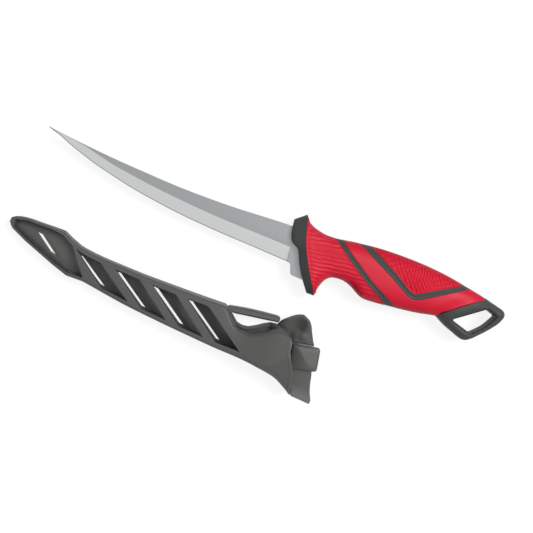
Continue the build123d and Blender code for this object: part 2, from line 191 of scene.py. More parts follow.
# Slits of the back wall: along at the top left and bottom left, and each end's share of the slit width
SLITS = ((15.7, 27.9, 1.15, 1.35), (43.4, 62.9, 1.08, 1.14), (68.7, 90.9, 0.95, 0.93),
         (92.5, 115.9, 0.95, 0.93), (115.2, 140.0, 0.87, 0.75))
SLIT_TOP_LINE = ((0.0, 7.6), (15.7, 7.4), (43.4, 5.2), (68.7, 5.4), (92.5, 6.3), (115.2, 7.7),
                 (130.0, 7.7), (145.0, 4.0), (190.0, 4.0))
SLIT_LOW_LINE = ((0.0, 1.2), (27.9, -0.3), (40.0, -3.0), (62.9, -5.8), (90.9, -7.5), (115.9, -7.5),
                 (140.0, -6.9), (190.0, -6.9))
CREST_LINE = ((0.0, 7.2), (3.0, 8.0), (41.5, 10.5), (132.8, 16.8), (152.5, 18.5), (162.9, 21.6),
              (171.2, 24.3), (180.5, 25.9), (195.0, 25.9))
SEAM_LINE = ((0.0, 3.9), (132.8, 8.1), (193.0, 12.0))
# Corner radius of both shells along the sheath, and its greatest share of the sheath's width
FRONT_RADIUS_LINE = ((0.0, 1.4), (4.0, 1.2), (10.0, 0.9), (25.0, 0.9), (42.0, 2.0), (60.0, 2.2),
                     (150.0, 2.3), (165.0, 3.0), (182.0, 4.5), (195.0, 4.5))
BACK_RADIUS_LINE = ((0.0, 1.5), (195.0, 1.5))
CORNER_SHARE = 0.42
# Power that crowds the first columns towards the tip
TIP_EASE = 1.6
# Where a shell's rows meet the mouth: place across of each plan line, and the corner radius there
FRONT_MOUTH_WEIGHTS = (16.6, -16.4, 6.0, -6.4, 4.5, 0, 0, 0)
BACK_MOUTH_WEIGHTS = (16.6, -16.4, 4.0, -6.9, 1.5, 0, 0, 0)
# Where the back shell's floor gives way to the tray, and the gap between the shells at the seam
FLOOR_END = 180.0
SEAM_GAP = 0.15
# Belt notch: where it starts and ends along, the front shell's wall there, and the top of the back shell's
NOTCH_START = (141.0, 146.0)
NOTCH_END = (166.0, 171.0)
NOTCH_WALL = 1.6
NOTCH_WALL_TOP = 4.6
# Front shell: height of its crown, then a point and the fall line of the wing's crease, the wing's slope,
# and where along the sheath it comes in
CROWN = 0.5
CREASE_POINT = (173.8, -4.5)
CREASE_RUN = (8.6, -9.3)
WING_FALL = 0.62
WING_IN = (165.0, 172.0)
# Fine groove along the rail: where it comes in and goes out, its place in corner radii, half width and depth
GROOVE_IN = (36.0, 46.0)
GROOVE_OUT = (136.0, 142.0)
GROOVE_PLACE = 3.1 / 2.3
GROOVE_WIDTH = 0.35
GROOVE_DEPTH = 0.25
# Bead round the mouth: distance from the end, half width and height
BEAD_PLACE = 0.9
BEAD_WIDTH = 0.8
BEAD_HEIGHT = 0.7

CLIP_LINE = ((138.7, 14.1, 1.15), (140.0, 14.3, 1.6), (141.6, 14.5, 1.85), (144.0, 14.9, 2.1),
             (148.5, 16.0, 2.2), (154.0, 17.2, 2.2), (159.8, 18.4, 2.15), (164.8, 19.4, 2.0),
             (168.2, 20.0, 1.85), (170.2, 19.9, 1.7))
TRAY_LEFT_LINE = ((-18.7, 195.2), (-17.9, 194.2), (-16.5, 193.0), (-13.5, 187.4), (-10.8, 180.3),
                  (-10.0, 176.0), (-8.0, 174.0), (12.0, 172.0), (16.8, 169.9), (20.6, 171.4),
                  (23.5, 173.8), (26.2, 176.6), (28.0, 179.3), (28.9, 181.6))
TRAY_RIGHT_LINE = ((-18.7, 207.2), (-17.9, 207.3), (-14.2, 205.5), (-9.6, 203.0), (-5.0, 200.8),
                   (-1.5, 199.2), (13.7, 194.4), (17.5, 192.8), (21.2, 190.7), (25.4, 188.0),
                   (27.7, 185.3), (28.9, 181.9))
TRAY_HEIGHT_LINE = ((-19.5, 2.0), (-18.0, 1.1), (-15.0, 0.3), (-12.5, 0.0), (-11.0, 0.0), (0.0, 0.0),
                    (11.0, 0.0), (12.5, 0.0), (16.0, 0.4), (19.5, 1.6), (22.5, 3.2), (25.0, 4.9),
                    (27.5, 6.8), (30.0, 8.6))
# Rows of points across the tray, in bands of (from, to, count)
TRAY_BANDS = ((-18.7, -4.6, 16), (-4.6, 10.15, 10), (10.15, 11.2, 4), (11.2, 11.9, 6), (11.9, 28.9, 29))
# Start of the latch's bay, and the cells that it leaves open: first row, row after the last, first column
BAY_START = 180.5
BAY_CELLS = (15, 24, 12)
# Lean of the bay's upper and lower edge: its slope, where it starts along, and the edge's place across,
# with the distance over which it fades
BAY_UPPER_LEAN = (0.256, 183.2, 10.15)
BAY_LOWER_LEAN = (0.29, 188.4, -4.7)
LEAN_FADE = 5
# Lobe beside the bay: where it rises and fades across, where it comes in along, its height, its bumps as
# (height, place, half width) and its rim
LOBE_WALL = (11.2, 11.9)
LOBE_FADE = (14.0, 20.0)
LOBE_IN = (179.0, 183.0)
LOBE_HEIGHT = 2.2
LOBE_BUMPS = ((3.2, 173.5, 4.0), (2.2, 187.0, 3.4))
LOBE_RIM = (2.6, 2.2)

# Spring arm: power of its section, height of its middle, depth of its ridges, shares of its length that close
# in at the root and at the free end, and the knuckle at its root as (radius, height)
CLIP_POWER = 0.6
CLIP_MIDDLE = 7.5
CLIP_RIDGE = 0.035
CLIP_ROOT = 0.01
CLIP_END = 0.05
KNUCKLE_PLACE = (140.5, 13.5)
KNUCKLE_RINGS = ((0.0, 2.6), (2.1, 2.6), (2.1, 12.4), (0.0, 12.4))

# Latch pad: corners in plan, power of its outline, height of its edge and underside, then a point and the
# fall line of its crease, and the slope on both sides of it
PAD_CORNERS = ((183.0, 10.0), (199.6, 14.2), (203.2, 0.2), (187.8, -4.5))
PAD_POWER = 10
PAD_EDGE_TOP = 4.2
PAD_UNDER = 2.0
PAD_CREASE_POINT = (186.1, 10.3)
PAD_CREASE_RUN = (-0.64, -0.77)
PAD_FALL = (0.19, 0.12)
# Tongue under the pad: its profile as (along, height), and where the profile stands across
TONGUE_PROFILE = ((181.1, 0.3), (181.1, 2.1), (186.0, 3.9), (191.0, 3.9), (191.0, 2.05), (186.0, 2.05))
TONGUE_ACROSS = (-3.9, -3.9, 10.9, 10.9)

# Grain of the materials in mm. A grinding belt leaves lines about 0.1 mm apart, and the moulds' texture
# is as fine, so all four are drawn coarser than they are, to show in the render
GRIND_LINE_SPACING = 1 / 2.6
NYLON_GRAIN = 1 / 4.2
RUBBER_GRAIN = 1 / 3.6
SHEATH_GRAIN = 1 / 3.8

# Stage in metres: reach, height and glow of the floor, then place and size of both lamps. The main lamp's
# place is to the right in the camera's picture, up in it, and above the floor
FLOOR_REACH = 20
FLOOR_HEIGHT = -0.0002
FLOOR_GLOW = 0.84
MAIN_LAMP_PLACE = (0.6, 0.22, 1.0)
MAIN_LAMP_SIZE = 0.45
PANEL_PLACE = (0, 0, 1.2)
PANEL_SIZE = 1.5
# Camera fitted to the outline in the photograph: place and aim in metres, turn, sensor and lens in mm
CAMERA_PLACE = Vector((0.0026, 0.038, 0.478))
CAMERA_AIM = Vector((0.0056, 0.0131, 0.011))
CAMERA_ROLL = math.radians(24.55)
CAMERA_SENSOR = 36
CAMERA_LENS = 53.83


# Lines, grids and meshes

def smooth(at, knots, values):
    """Reads values off a smooth curve: cubics between the knots, with the mean slope at each knot."""
    knots = np.asarray(knots, float)
    values = np.asarray(values, float)
    slopes = np.gradient(values, knots, axis=0)
    at = np.clip(at, knots[0], knots[-1])
    cell = np.clip(np.searchsorted(knots, at, side="right") - 1, 0, len(knots) - 2)
    width = knots[cell + 1] - knots[cell]
    t = (at - knots[cell]) / width
    if values.ndim > 1:
        t, width = t[..., None], width[..., None]
    return (values[cell] * (1 + 2 * t) * (1 - t) ** 2 + width * slopes[cell] * t * (1 - t) ** 2
            + values[cell + 1] * t * t * (3 - 2 * t) + width * slopes[cell + 1] * t * t * (t - 1))


def line_at(at, line):
    """The smooth curve of a table of (along, value) pairs, read at the given places."""
    table = np.array(line)
    return smooth(at, table[:, 0], table[:, 1])


def along_path(points, count):
    """A number of points at even steps along a smooth curve through the given points."""
    points = np.asarray(points, float)
    run = np.concatenate([[0], np.cumsum(np.linalg.norm(np.diff(points, axis=0), axis=1))])
    return smooth(np.linspace(0, run[-1], count), run, points)


def eased(count, ease=0.8):
    """Steps from 0 to 1 that lie closer together at both ends."""
    t = np.linspace(0, 1, count)
    return t - ease * np.sin(2 * math.pi * t) / (2 * math.pi)


def step(value, low, high):
    """0 below low, 1 above high and a smooth rise between them."""
    t = np.clip((value - low) / (high - low), 0, 1)
    return t * t * (3 - 2 * t)


def grid_faces(rows, columns, close_rows=False, close_columns=False, first=0):
    """The four-sided faces of a grid of points, row by row."""
    row = np.arange(rows if close_rows else rows - 1)
    column = np.arange(columns if close_columns else columns - 1)
    a, b = np.meshgrid(row, column, indexing="ij")
    c, d = (a + 1) % rows, (b + 1) % columns
    corners = [a * columns + b, c * columns + b, c * columns + d, a * columns + d]
    return np.stack(corners, -1).reshape(-1, 4) + first


def gap_to(points, line):
    """Distance from each point to a line of points, worked out for a batch of points at a time."""
    nearest = np.empty(len(points))
    start, run = line[:-1], np.diff(line, axis=0)
    square = np.maximum((run ** 2).sum(1), 1e-12)
    for first in range(0, len(points), BATCH):
        away = points[first:first + BATCH, None] - start
        share = np.clip((away * run).sum(2) / square, 0, 1)
        nearest[first:first + BATCH] = np.sqrt(((away - share[..., None] * run) ** 2).sum(2).min(1))
    return nearest


def rounded_lip(gap, radius, depth):
    """How far a surface drops towards an edge: a quarter circle of that radius, scaled to depth."""
    t = np.clip(1 - gap / radius, 0, 1)
    return depth * (1 - np.sqrt(1 - t * t))


def signed_power(value, power):
    """A power that keeps the sign, which squares up a sine or cosine into a superellipse."""
    return np.sign(value) * np.abs(value) ** power


def make_piece(name, points, faces, body, nodes, materials, indices=None, sharp=35.0):
    """One finished mesh on its body: equal points are joined, and faces without area are dropped."""
    place = KNIFE_PLACE if body == "knife" else SHEATH_PLACE
    points = (np.asarray(points, float).reshape(-1, 3) + np.array(place)) * MM
    keys, back = np.unique(np.round(points / JOIN_DISTANCE).astype(np.int64), axis=0, return_inverse=True)
    back = back.reshape(-1)
    joined = np.zeros((len(keys), 3))
    joined[back] = points
    faces = back[np.asarray(faces)]
    same = faces == np.roll(faces, -1, axis=1)
    kept = same.sum(1) < 2
    faces, same = faces[kept], same[kept]
    indices = np.zeros(len(faces), int) if indices is None else np.asarray(indices)[kept]
    four = same.sum(1) == 0
    three = faces[~four]
    if len(three):
        turn = (np.argmax(same[~four], axis=1)[:, None] + np.arange(1, 5)) % 4
        three = np.take_along_axis(three, turn, 1)[:, :3]
    mesh = bpy.data.meshes.new(name)
    mesh.from_pydata(joined.tolist(), [], faces[four].tolist() + three.tolist())
    indices = np.concatenate([indices[four], indices[~four]])
    mesh.polygons.foreach_set("material_index", indices.astype(np.int32))
    mesh.update()
    mesh.shade_smooth()
    mesh.set_sharp_from_angle(angle=math.radians(sharp))
    for material in materials:
        mesh.materials.append(material)
    piece = bpy.data.objects.new(name, mesh)
    bpy.context.scene.collection.objects.link(piece)
    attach(piece, body)
    if nodes:
        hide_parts(*nodes)
    return piece


def thicken(piece, thickness):
    """Gives an open surface its thickness, inwards, with closed rims."""
    solid = piece.modifiers.new("Thickness", "SOLIDIFY")
    solid.thickness = thickness
    solid.offset = -1
    solid.use_even_offset = False


def soften(piece, width):
    """Rounds the sharp edges of a piece."""
    bevel = piece.modifiers.new("Soft edges", "BEVEL")
    bevel.width = width
    bevel.segments = 2
    bevel.limit_method = "ANGLE"
    bevel.angle_limit = math.radians(SOFT_ANGLE)
    bevel.harden_normals = False
    bevel.use_clamp_overlap = True


# Handle surface

def section_table():
    """Rise and width of the handle's cross-section, a superellipse, for even steps from top to bottom."""
    angle = np.linspace(0, math.pi, 2001)
    power = 2 / SECTION_POWER
    rise = signed_power(np.cos(angle), power)
    width = np.sin(angle).clip(0) ** power
    run = np.concatenate([[0], np.cumsum(np.hypot(np.diff(rise) * SECTION_ASPECT, np.diff(width)))])
    return run / run[-1], rise, width


SECTION_RUN, SECTION_RISE, SECTION_WIDTH = section_table()


def rise_at(share):
    """Rise on the cross-section, from 1 at the top to -1 at the bottom, at a share of the way down."""
    return np.interp(share, SECTION_RUN, SECTION_RISE)


def side_share(around):
    """Share of the way down the near or the far side, from 0 at the top to 1 at the bottom."""
    return np.abs((around + 1) % 2 - 1)


def handle_point(along, around):
    """A point of the handle's skin: the plan slides from the station's top to its bottom with the rise, and
    the width stands out to the side that around turns to. Along counts stations."""
    turn = (around + 1) % 2 - 1
    width = np.interp(np.abs(turn), SECTION_RUN, SECTION_WIDTH) * np.sign(turn)
    station = smooth(along, np.arange(len(HANDLE_STATIONS)), HANDLE_STATIONS)
    top, low = station[..., 0:2], station[..., 2:4]
    plan = (top + low) / 2 + (top - low) / 2 * rise_at(np.abs(turn))[..., None]
    return np.concatenate([plan, (station[..., 4] * width)[..., None]], -1)


def handle_normal(along, around):
    """The outward direction of the handle's skin: the cross product of two short chords."""
    down = handle_point(along, around + 0.006) - handle_point(along, around - 0.006)
    forward = handle_point(along + 0.03, around) - handle_point(along - 0.03, around)
    normal = np.cross(down, forward)
    return normal / np.linalg.norm(normal, axis=-1, keepdims=True)


def plan_on_handle(points):
    """Station and rise of plan points: the line from bottom to top of a station that passes through each
    point is found between close stations, by the sign of a cross product."""
    along = np.linspace(0, len(HANDLE_STATIONS) - 1, SEAM_SEARCH_STEPS)
    station = smooth(along, np.arange(len(HANDLE_STATIONS)), HANDLE_STATIONS)
    low, span = station[:, 2:4], station[:, 0:2] - station[:, 2:4]
    away = points[:, None] - low
    side = away[..., 0] * span[:, 1] - away[..., 1] * span[:, 0]
    past = side < 0
    after = np.where(past.any(axis=1), np.clip(np.argmax(past, axis=1), 1, None), len(along) - 1)
    row = np.arange(len(points))
    share = side[row, after - 1] / (side[row, after - 1] - side[row, after])
    rise = (away * span).sum(2) / (span ** 2).sum(1) * 2 - 1
    return (along[after - 1] + share * (along[after] - along[after - 1]),
            rise[row, after - 1] + share * (rise[row, after] - rise[row, after - 1]))


def edge_by_around(plan):
    """A plan edge that crosses the whole handle, as the station at each place round it."""
    along, rise = plan_on_handle(along_path(plan, 240))
    return lambda around: np.interp(-rise_at(side_share(around)), -rise, along)


def arms_by_around(plan):
    """A plan edge shaped like a V, as two arms down from the top, with the place where they meet."""
    along, rise = plan_on_handle(along_path(plan, 400))
    lowest = int(np.argmin(rise))
    bottom = float(np.interp(-rise[lowest], -SECTION_RISE, SECTION_RUN))

    def arm(part):
        def edge(around):
            share = np.minimum(side_share(around), bottom)
            return np.interp(-rise_at(share), -rise[part], along[part])
        return edge
    left = np.arange(0, lowest + 1)
    right = np.arange(len(rise) - 1, lowest - 1, -1)
    return arm(left), arm(right), bottom


def rib_relief(points, sizes):
    """Lengthwise ribs: a cosine of the height above a line that slants and bends, with two slow waves."""
    x, y = points[..., 0] - RIB_START, points[..., 1]
    wave = sum(height * np.sin(x * turn + y * tilt + start) for height, turn, tilt, start in RIB_WAVES)
    phase = (y - RIB_SLANT * x + RIB_BEND * x * x + wave) / (sizes.rib_pitch / MM)
    return sizes.rib_depth / MM * (np.cos(2 * math.pi * phase) - 1) / 2


def scale_relief(points, sizes):
    """Long diamonds: the product of the sines of two slanting lines, with narrow ridges between cells."""
    x, y = points[..., 0] - SCALE_START[0], points[..., 1] - SCALE_START[1]
    pitch = sizes.scale_pitch / MM
    first = (FIRST_RIDGE[0] * x + FIRST_RIDGE[1] * y) / FIRST_RIDGE[2] / pitch
    second = (SECOND_RIDGE[0] * x + SECOND_RIDGE[1] * y) / SECOND_RIDGE[2] / pitch
    cells = np.abs(np.sin(math.pi * first) * np.sin(math.pi * second))
    return -sizes.scale_depth / MM * cells ** RIDGE_POWER


def skin(along, around, borders, sizes, relief=None, sink=0.0):
    """Points of one moulded part of the handle: the skin with its relief and a rounded lip at its borders."""
    points = handle_point(along, around).reshape(-1, 3)
    normal = handle_normal(along, around).reshape(-1, 3)
    radius = sizes.lip_radius / MM
    gap = np.min([gap_to(points, border) for border in borders], axis=0)
    height = -rounded_lip(gap, radius, sizes.lip_depth / MM) - sink
    if relief is not None:
        kept = step(gap, 0.5 * radius, 2.2 * radius) * step(np.abs(normal[:, 2]), 0.05, 0.45)
        height = height + relief(points, sizes) * kept
    return points + normal * height[:, None]


def ring_around(count):
    """Even steps once round the handle, from the bottom over one side to the top and down the other."""
    return np.linspace(-1, 1, count, endpoint=False)


def border_line(edge):
    """The line that a plan edge draws on the handle's skin."""
    around = np.linspace(-1, 1, 500)
    return handle_point(edge(around), around)


def loop_line(loop):
    """The closed line that a loop of stations and places draws on the handle's skin."""
    return handle_point(np.append(loop[0], loop[0][0]), np.append(loop[1], loop[1][0]))


def grid_between(left, right, around, share):
    """Stations and places of a grid between two edges."""
    start, end = left(around)[:, None], right(around)[:, None]
    return start + (end - start) * share[None], np.repeat(around[:, None], len(share), 1)


# Pieces of the knife

def mould(name, points, faces, nodes, sizes, materials):
    """One moulded part of the handle: its outer skin as a mesh, thickened inwards."""
    piece = make_piece(name, points, faces, "knife", nodes, materials, sharp=70)
    thicken(piece, sizes.rubber_thickness)


def make_front_grip(sizes, materials):
    """Ribbed rubber from the guard to the first band: the handle's skin between two edges."""
    left, right = edge_by_around(GUARD_REAR), edge_by_around(FIRST_BAND_FRONT)
    along, place = grid_between(left, right, ring_around(260), eased(74, 0.7))
    points = skin(along, place, [border_line(left), border_line(right)], sizes, rib_relief)
    faces = grid_faces(*along.shape, close_rows=True)
    mould("front_grip_ribbed_rubber", points, faces, ["front_grip"], sizes, materials)


def make_band(name, along, place, share, borders, sizes, materials):
    """Nylon band: the handle's skin sunk below the rubber, less a groove with the section of a bell curve
    along its middle, which runs out where the band turns over the handle's rims."""
    points = skin(along, place, borders, sizes, sink=sizes.band_sink / MM)
    side = np.sin(math.pi * np.clip(np.abs(place), 0, 1)) ** 2
    groove = np.exp(-((share - 0.5) / GROOVE_SHARE) ** 2) * step(side, 0.1, 0.5)
    normal = handle_normal(along, place).reshape(-1, 3)
    points = points - normal * (groove.reshape(-1) * sizes.band_groove / MM)[:, None]
    mould(name, points, grid_faces(*along.shape, close_rows=True), [], sizes, materials)


def make_first_band(sizes, materials):
    """Slanted nylon band, from one plan edge to the next."""
    left, right = edge_by_around(FIRST_BAND_FRONT), edge_by_around(FIRST_BAND_REAR)
    share = eased(17, 0.5)
    along, place = grid_between(left, right, ring_around(220), share)
    borders = [border_line(left), border_line(right)]
    make_band("first_band_nylon", along, place, share, borders, sizes, materials)


def arm_loop(left, right, bottom, count):
    """A V edge as one closed loop: down the left arm, up the right arm, and back on the other side."""
    down = np.sin(np.linspace(0, math.pi / 2, count)) * bottom
    along = np.concatenate([left(down), right(down[::-1])[1:]])
    place = np.concatenate([down, down[::-1][1:]])
    return np.concatenate([along, along[::-1][1:-1]]), np.concatenate([place, -place[::-1][1:-1]])


def make_second_band(sizes, materials):
    """Nylon band shaped like a V on each side: a straight blend between two closed loops."""
    outer = arm_loop(*arms_by_around(SECOND_BAND_OUTER), 90)
    inner = arm_loop(*arms_by_around(SECOND_BAND_INNER), 90)
    share = eased(17, 0.5)
    along, place = [start[:, None] + (end - start)[:, None] * share for start, end in zip(outer, inner)]
    borders = [loop_line(outer), loop_line(inner)]
    make_band("second_band_nylon", along, place, share, borders, sizes, materials)


def make_middle_grip(sizes, materials):
    """Smooth rubber between the bands: patches before, behind and below the V, with a shallow dip before the
    pommel that is deepest on the sides."""
    front, back = edge_by_around(FIRST_BAND_REAR), edge_by_around(POMMEL_EDGE)
    left, right, bottom = arms_by_around(SECOND_BAND_OUTER)
    upper = np.sin(np.linspace(-math.pi / 2, math.pi / 2, 121)) * bottom
    lower = np.linspace(bottom, 2 - bottom, 131)
    share = eased(44, 0.6)
    borders = [border_line(front), border_line(back), loop_line(arm_loop(left, right, bottom, 200))]
    meeting = left(np.array([bottom]))[0]

    def below(around):
        return np.full(len(around), meeting)
    grids = [grid_between(front, left, upper, share), grid_between(right, back, upper, share),
             grid_between(front, below, lower, share), grid_between(below, back, lower, share)]
    points, faces, first = [], [], 0
    for along, place in grids:
        part = skin(along, place, borders, sizes)
        normal = handle_normal(along, place).reshape(-1, 3)
        dip = POMMEL_DIP * (1 - step(gap_to(part, borders[1]), 0, POMMEL_DIP_LENGTH))
        points.append(part - normal * (dip * step(np.abs(normal[:, 2]), 0.3, 0.9))[:, None])
        faces.append(grid_faces(*along.shape, first=first))
        first += len(part)
    mould("middle_grip_smooth_rubber", np.concatenate(points), np.concatenate(faces),
          ["middle_grip"], sizes, materials)


def make_rear_grip(sizes, materials):
    """Rubber saddle inside the V with its diamond relief: the handle's skin between the two arms."""
    left, right, bottom = arms_by_around(SECOND_BAND_INNER)
    around = np.sin(np.linspace(-math.pi / 2, math.pi / 2, 191)) * bottom
    along, place = grid_between(left, right, around, eased(210, 0.3))
    points = skin(along, place, [loop_line(arm_loop(left, right, bottom, 200))], sizes, scale_relief)
    faces = grid_faces(*along.shape)
    mould("rear_grip_diamond_rubber", points, faces, ["rear_grip"], sizes, materials)


def make_core(sizes, materials):
    """Nylon body under the rubber: the handle's skin drawn in, with each end closed to one point."""
    around = ring_around(120)
    along, place = np.meshgrid(np.linspace(CORE_START, len(HANDLE_STATIONS) - 1, 90), around)
    inset = sizes.rubber_thickness / MM - CORE_OVERLAP
    points = handle_point(along, place) - handle_normal(along, place) * inset
    ends = [np.repeat(points[:, column].mean(0)[None], len(around), 0)[:, None] for column in (0, -1)]
    points = np.concatenate([ends[0], points, ends[1]], 1)
    faces = grid_faces(points.shape[0], points.shape[1], close_rows=True)
    make_piece("core_under_rubber", points, faces, "knife", [], materials)


def make_guard(sizes, materials):
    """Nylon guard: a superellipse at each height, half of it, from the flat back on the handle's section to
    the rounded front line. The top corner stands a little proud of the rubber."""
    around = np.linspace(0, 1, 91)
    rise = rise_at(around)
    width = np.interp(around, SECTION_RUN, SECTION_WIDTH)
    back = handle_point(edge_by_around(GUARD_REAR)(around), around)
    back[:, :2] += np.array(GUARD_TOP_LIFT) * np.interp(rise, (0.9, 1.0), (0, 1))[:, None]
    front = smooth((1 - rise) / 2, GUARD_FRONT_AT, np.array(GUARD_FRONT))
    angle = np.linspace(-math.pi / 2, math.pi / 2, 41)
    ahead = np.cos(angle).clip(0) ** (2 / GUARD_POWER)
    side = signed_power(np.sin(angle), 2 / GUARD_POWER)
    plan = back[:, None, 0:2] + (front - back[:, 0:2])[:, None] * ahead[None, :, None]
    half = back[:, 2:3] * (1 - ahead) + sizes.guard_front / MM / 2 * width[:, None] ** 0.8 * ahead
    points = np.concatenate([plan, (half * side)[..., None]], -1)
    faces = grid_faces(len(around), len(angle), close_columns=True)
    make_piece("guard_nylon", points, faces, "knife", ["handle_core"], materials, sharp=50)


def closed_outline(corners, counts):
    """A closed outline from pieces between corners, each a smooth path with its own number of points."""
    return np.concatenate([along_path(part, count + 1)[:-1] for part, count in zip(corners, counts)])


def make_pommel(sizes, materials):
    """Nylon pommel: a ring from its outline to the lanyard opening. Its height is a superellipse of the gap
    to the free edge, less a quarter circle round the opening, and it thins beyond the seam."""
    outer_points, inner_points = np.array(POMMEL_OUTLINE), np.array(LANYARD_OUTLINE)
    counts = (56, 34, 56, 34)
    last = np.vstack([outer_points[17:], outer_points[:1]])
    outer = closed_outline((outer_points[:7], outer_points[6:11], outer_points[10:18], last), counts)
    sides = (inner_points[:2], inner_points[1:3], inner_points[2:], inner_points[[4, 0]])
    inner = closed_outline(sides, counts)
    inner = np.mean([np.roll(inner, shift, axis=0) for shift in range(-4, 5)], axis=0)
    share = np.concatenate([np.linspace(0, 1, 15) ** 1.8 * 0.5, 1 - np.linspace(1, 0, 15)[1:] ** 1.5 * 0.5])
    plan = outer[:, None] + (inner - outer)[:, None] * share[None, :, None]
    flat = plan.reshape(-1, 2)
    gap = gap_to(flat, np.vstack([outer[counts[0]:], outer[:1]]))
    start, end = outer_points[0], outer_points[6]
    across = np.array([end[1] - start[1], start[0] - end[0]])
    beyond = ((flat - start) @ across) / np.linalg.norm(across)
    radius = POMMEL_ROUND[0] + (POMMEL_ROUND[1] - POMMEL_ROUND[0]) * step(beyond, 0, POMMEL_ROUND[2])
    half = POMMEL_HALF[0] + (POMMEL_HALF[1] - POMMEL_HALF[0]) * step(beyond, 0, POMMEL_HALF[2])
    height = half * (1 - (1 - np.clip(gap / radius, 0, 1)) ** SECTION_POWER) ** (1 / SECTION_POWER)
    rim = rounded_lip(gap_to(flat, np.vstack([inner, inner[:1]])), *OPENING_RIM)
    height = np.maximum(height - rim, POMMEL_THINNEST)
    seam_gap = gap_to(flat, outer[:counts[0] + 1])
    height = height - rounded_lip(seam_gap, sizes.lip_radius / MM, sizes.lip_depth / MM) * (height > 1)
    upper = np.concatenate([flat, height[:, None]], 1).reshape(len(outer), len(share), 3)
    points = np.concatenate([upper, (upper * (1, 1, -1))[:, ::-1]], 1)
    faces = grid_faces(points.shape[0], points.shape[1], close_rows=True, close_columns=True)[:, ::-1]
    make_piece("pommel_nylon", points, faces, "knife", [], materials, sharp=50)


def make_blade(sizes, materials):
    """Ground blade and heel: at each station a ring from the back over the flat and the bevel to the edge,
    and its mirror image, with straight lines between. The bevel ends in a finer one, and the heel is full."""
    stations = np.concatenate([np.linspace(0, 1, 160) ** 0.85 * (BLADE_LENGTH + GROUND_END) - BLADE_LENGTH,
                               np.linspace(3.3, 6.3, 21), np.linspace(6.6, 21.0, 48)])
    back, grind, edge, thick = smooth(stations, BLADE_STATIONS[:, 0], BLADE_STATIONS[:, 1:]).T
    heel = np.clip((stations - HEEL_START) / HEEL_RUN, 0, 1)
    half = thick * sizes.blade_thickness / MM / 2
    lean = GROUND_LEAN * step(stations, *LEAN_IN) * (1 - step(stations, *LEAN_OUT))
    edge = np.where(heel > 0.5, np.interp(stations + lean, *np.array(HEEL_LINE).T), edge)
    rows = [(back, half - BACK_CHAMFER, 0.0), (back - BACK_CHAMFER, half, 0.0)]
    rows += [(back + (grind - back) * share, half, 0.0) for share in (0.33, 0.66, 1.0)]
    for share in (0.25, 0.5, 0.75, 1.0):
        ground = half + (FINE_BEVEL_HALF - half) * share
        rows.append((grind + (edge + FINE_BEVEL - grind) * share, ground * (1 - heel) + half * heel, share))
    rows.append((edge, EDGE_HALF * (1 - heel) + (half - HEEL_CHAMFER) * heel, 1.0))
    side = np.stack([np.stack([stations + lean * share, up, out], -1) for up, out, share in rows], 1)
    points = np.concatenate([side, (side * (1, 1, -1))[:, ::-1]], 1)
    ends = [np.repeat(points[row].mean(0)[None], points.shape[1], 0)[None] for row in (0, -1)]
    points = np.concatenate([ends[0], points, ends[1]])
    count, ring = points.shape[:2]
    faces = grid_faces(count, ring, close_columns=True)[:, ::-1]
    row, column = np.divmod(np.arange(len(faces)), ring)
    mirrored = np.minimum(column, ring - 2 - column)
    ground = row < GROUND_ROWS
    # Rows 4 to 7 on each side take material 1, the bevel with its painted highlight
    indices = np.where(ground & (mirrored >= 4) & (mirrored <= 7), 1, 0)
    # Row 8 takes material 2, the edge with its painted shade
    indices = np.where(ground & (mirrored == 8), 2, indices)
    make_piece("blade_ground_steel", points, faces, "knife", ["blade"], materials,
               indices=indices, sharp=8)


# Pieces of the sheath

def shell_rows(wall_steps, corner_steps, rail_steps, window_steps):
    """Rows round a shell, each the weights of the four plan lines, of the corner radius across, of the crest
    and of the corner radius down, and the lean: up one wall, over the flat and down the other."""
    rows = []
    for share in np.linspace(0, 1, wall_steps + 1)[:-1]:
        rows.append((1, 0, 0, 0, 0, share, -share, 0))
    for angle in np.linspace(0, math.pi / 2, corner_steps + 1):
        rows.append((1, 0, 0, 0, -(1 - math.cos(angle)), 1, -(1 - math.sin(angle)), 0))
    for share in np.linspace(0, 1, rail_steps + 1)[1:]:
        rows.append((1 - share, 0, share, 0, -(1 - share), 1, 0, 0))
    for share in np.linspace(0, 1, window_steps + 1)[1:]:
        rows.append((0, 0, 1 - share, share, 0, 1, 0, share))
    for share in np.linspace(0, 1, rail_steps + 1)[1:]:
        rows.append((0, share, 0, 1 - share, share, 1, 0, 1))
    for angle in np.linspace(math.pi / 2, 0, corner_steps + 1)[1:]:
        rows.append((0, 1, 0, 0, 1 - math.cos(angle), 1, -(1 - math.sin(angle)), 1))
    for share in np.linspace(1, 0, wall_steps + 1)[1:]:
        rows.append((0, 1, 0, 0, 0, share, -share, 1))
    first = wall_steps + corner_steps + rail_steps
    return np.array(rows), first, first + window_steps


def shell_columns(openings, steps, tip_steps, end_steps):
    """Where the columns cross the upper and lower window line, and which of them lie in an opening. The
    columns before the first opening lie closer together towards the tip."""
    top, low, open_cells = [0.0], [0.0], []
    for upper_left, upper_right, lower_left, lower_right in openings:
        at_tip = len(top) == 1
        count = tip_steps if at_tip else steps
        share = np.linspace(0, 1, count + 1)[1:] ** (TIP_EASE if at_tip else 1.0)
        top_start, low_start = top[-1], low[-1]
        top.extend(top_start + (upper_left - top_start) * share)
        low.extend(low_start + (lower_left - low_start) * share)
        open_cells += [False] * count
        share = np.linspace(0, 1, steps + 1)[1:]
        top.extend(upper_left + (upper_right - upper_left) * share)
        low.extend(lower_left + (lower_right - lower_left) * share)
        open_cells += [True] * steps
    open_cells += [False] * end_steps
    return np.array(top), np.array(low), np.array(open_cells)


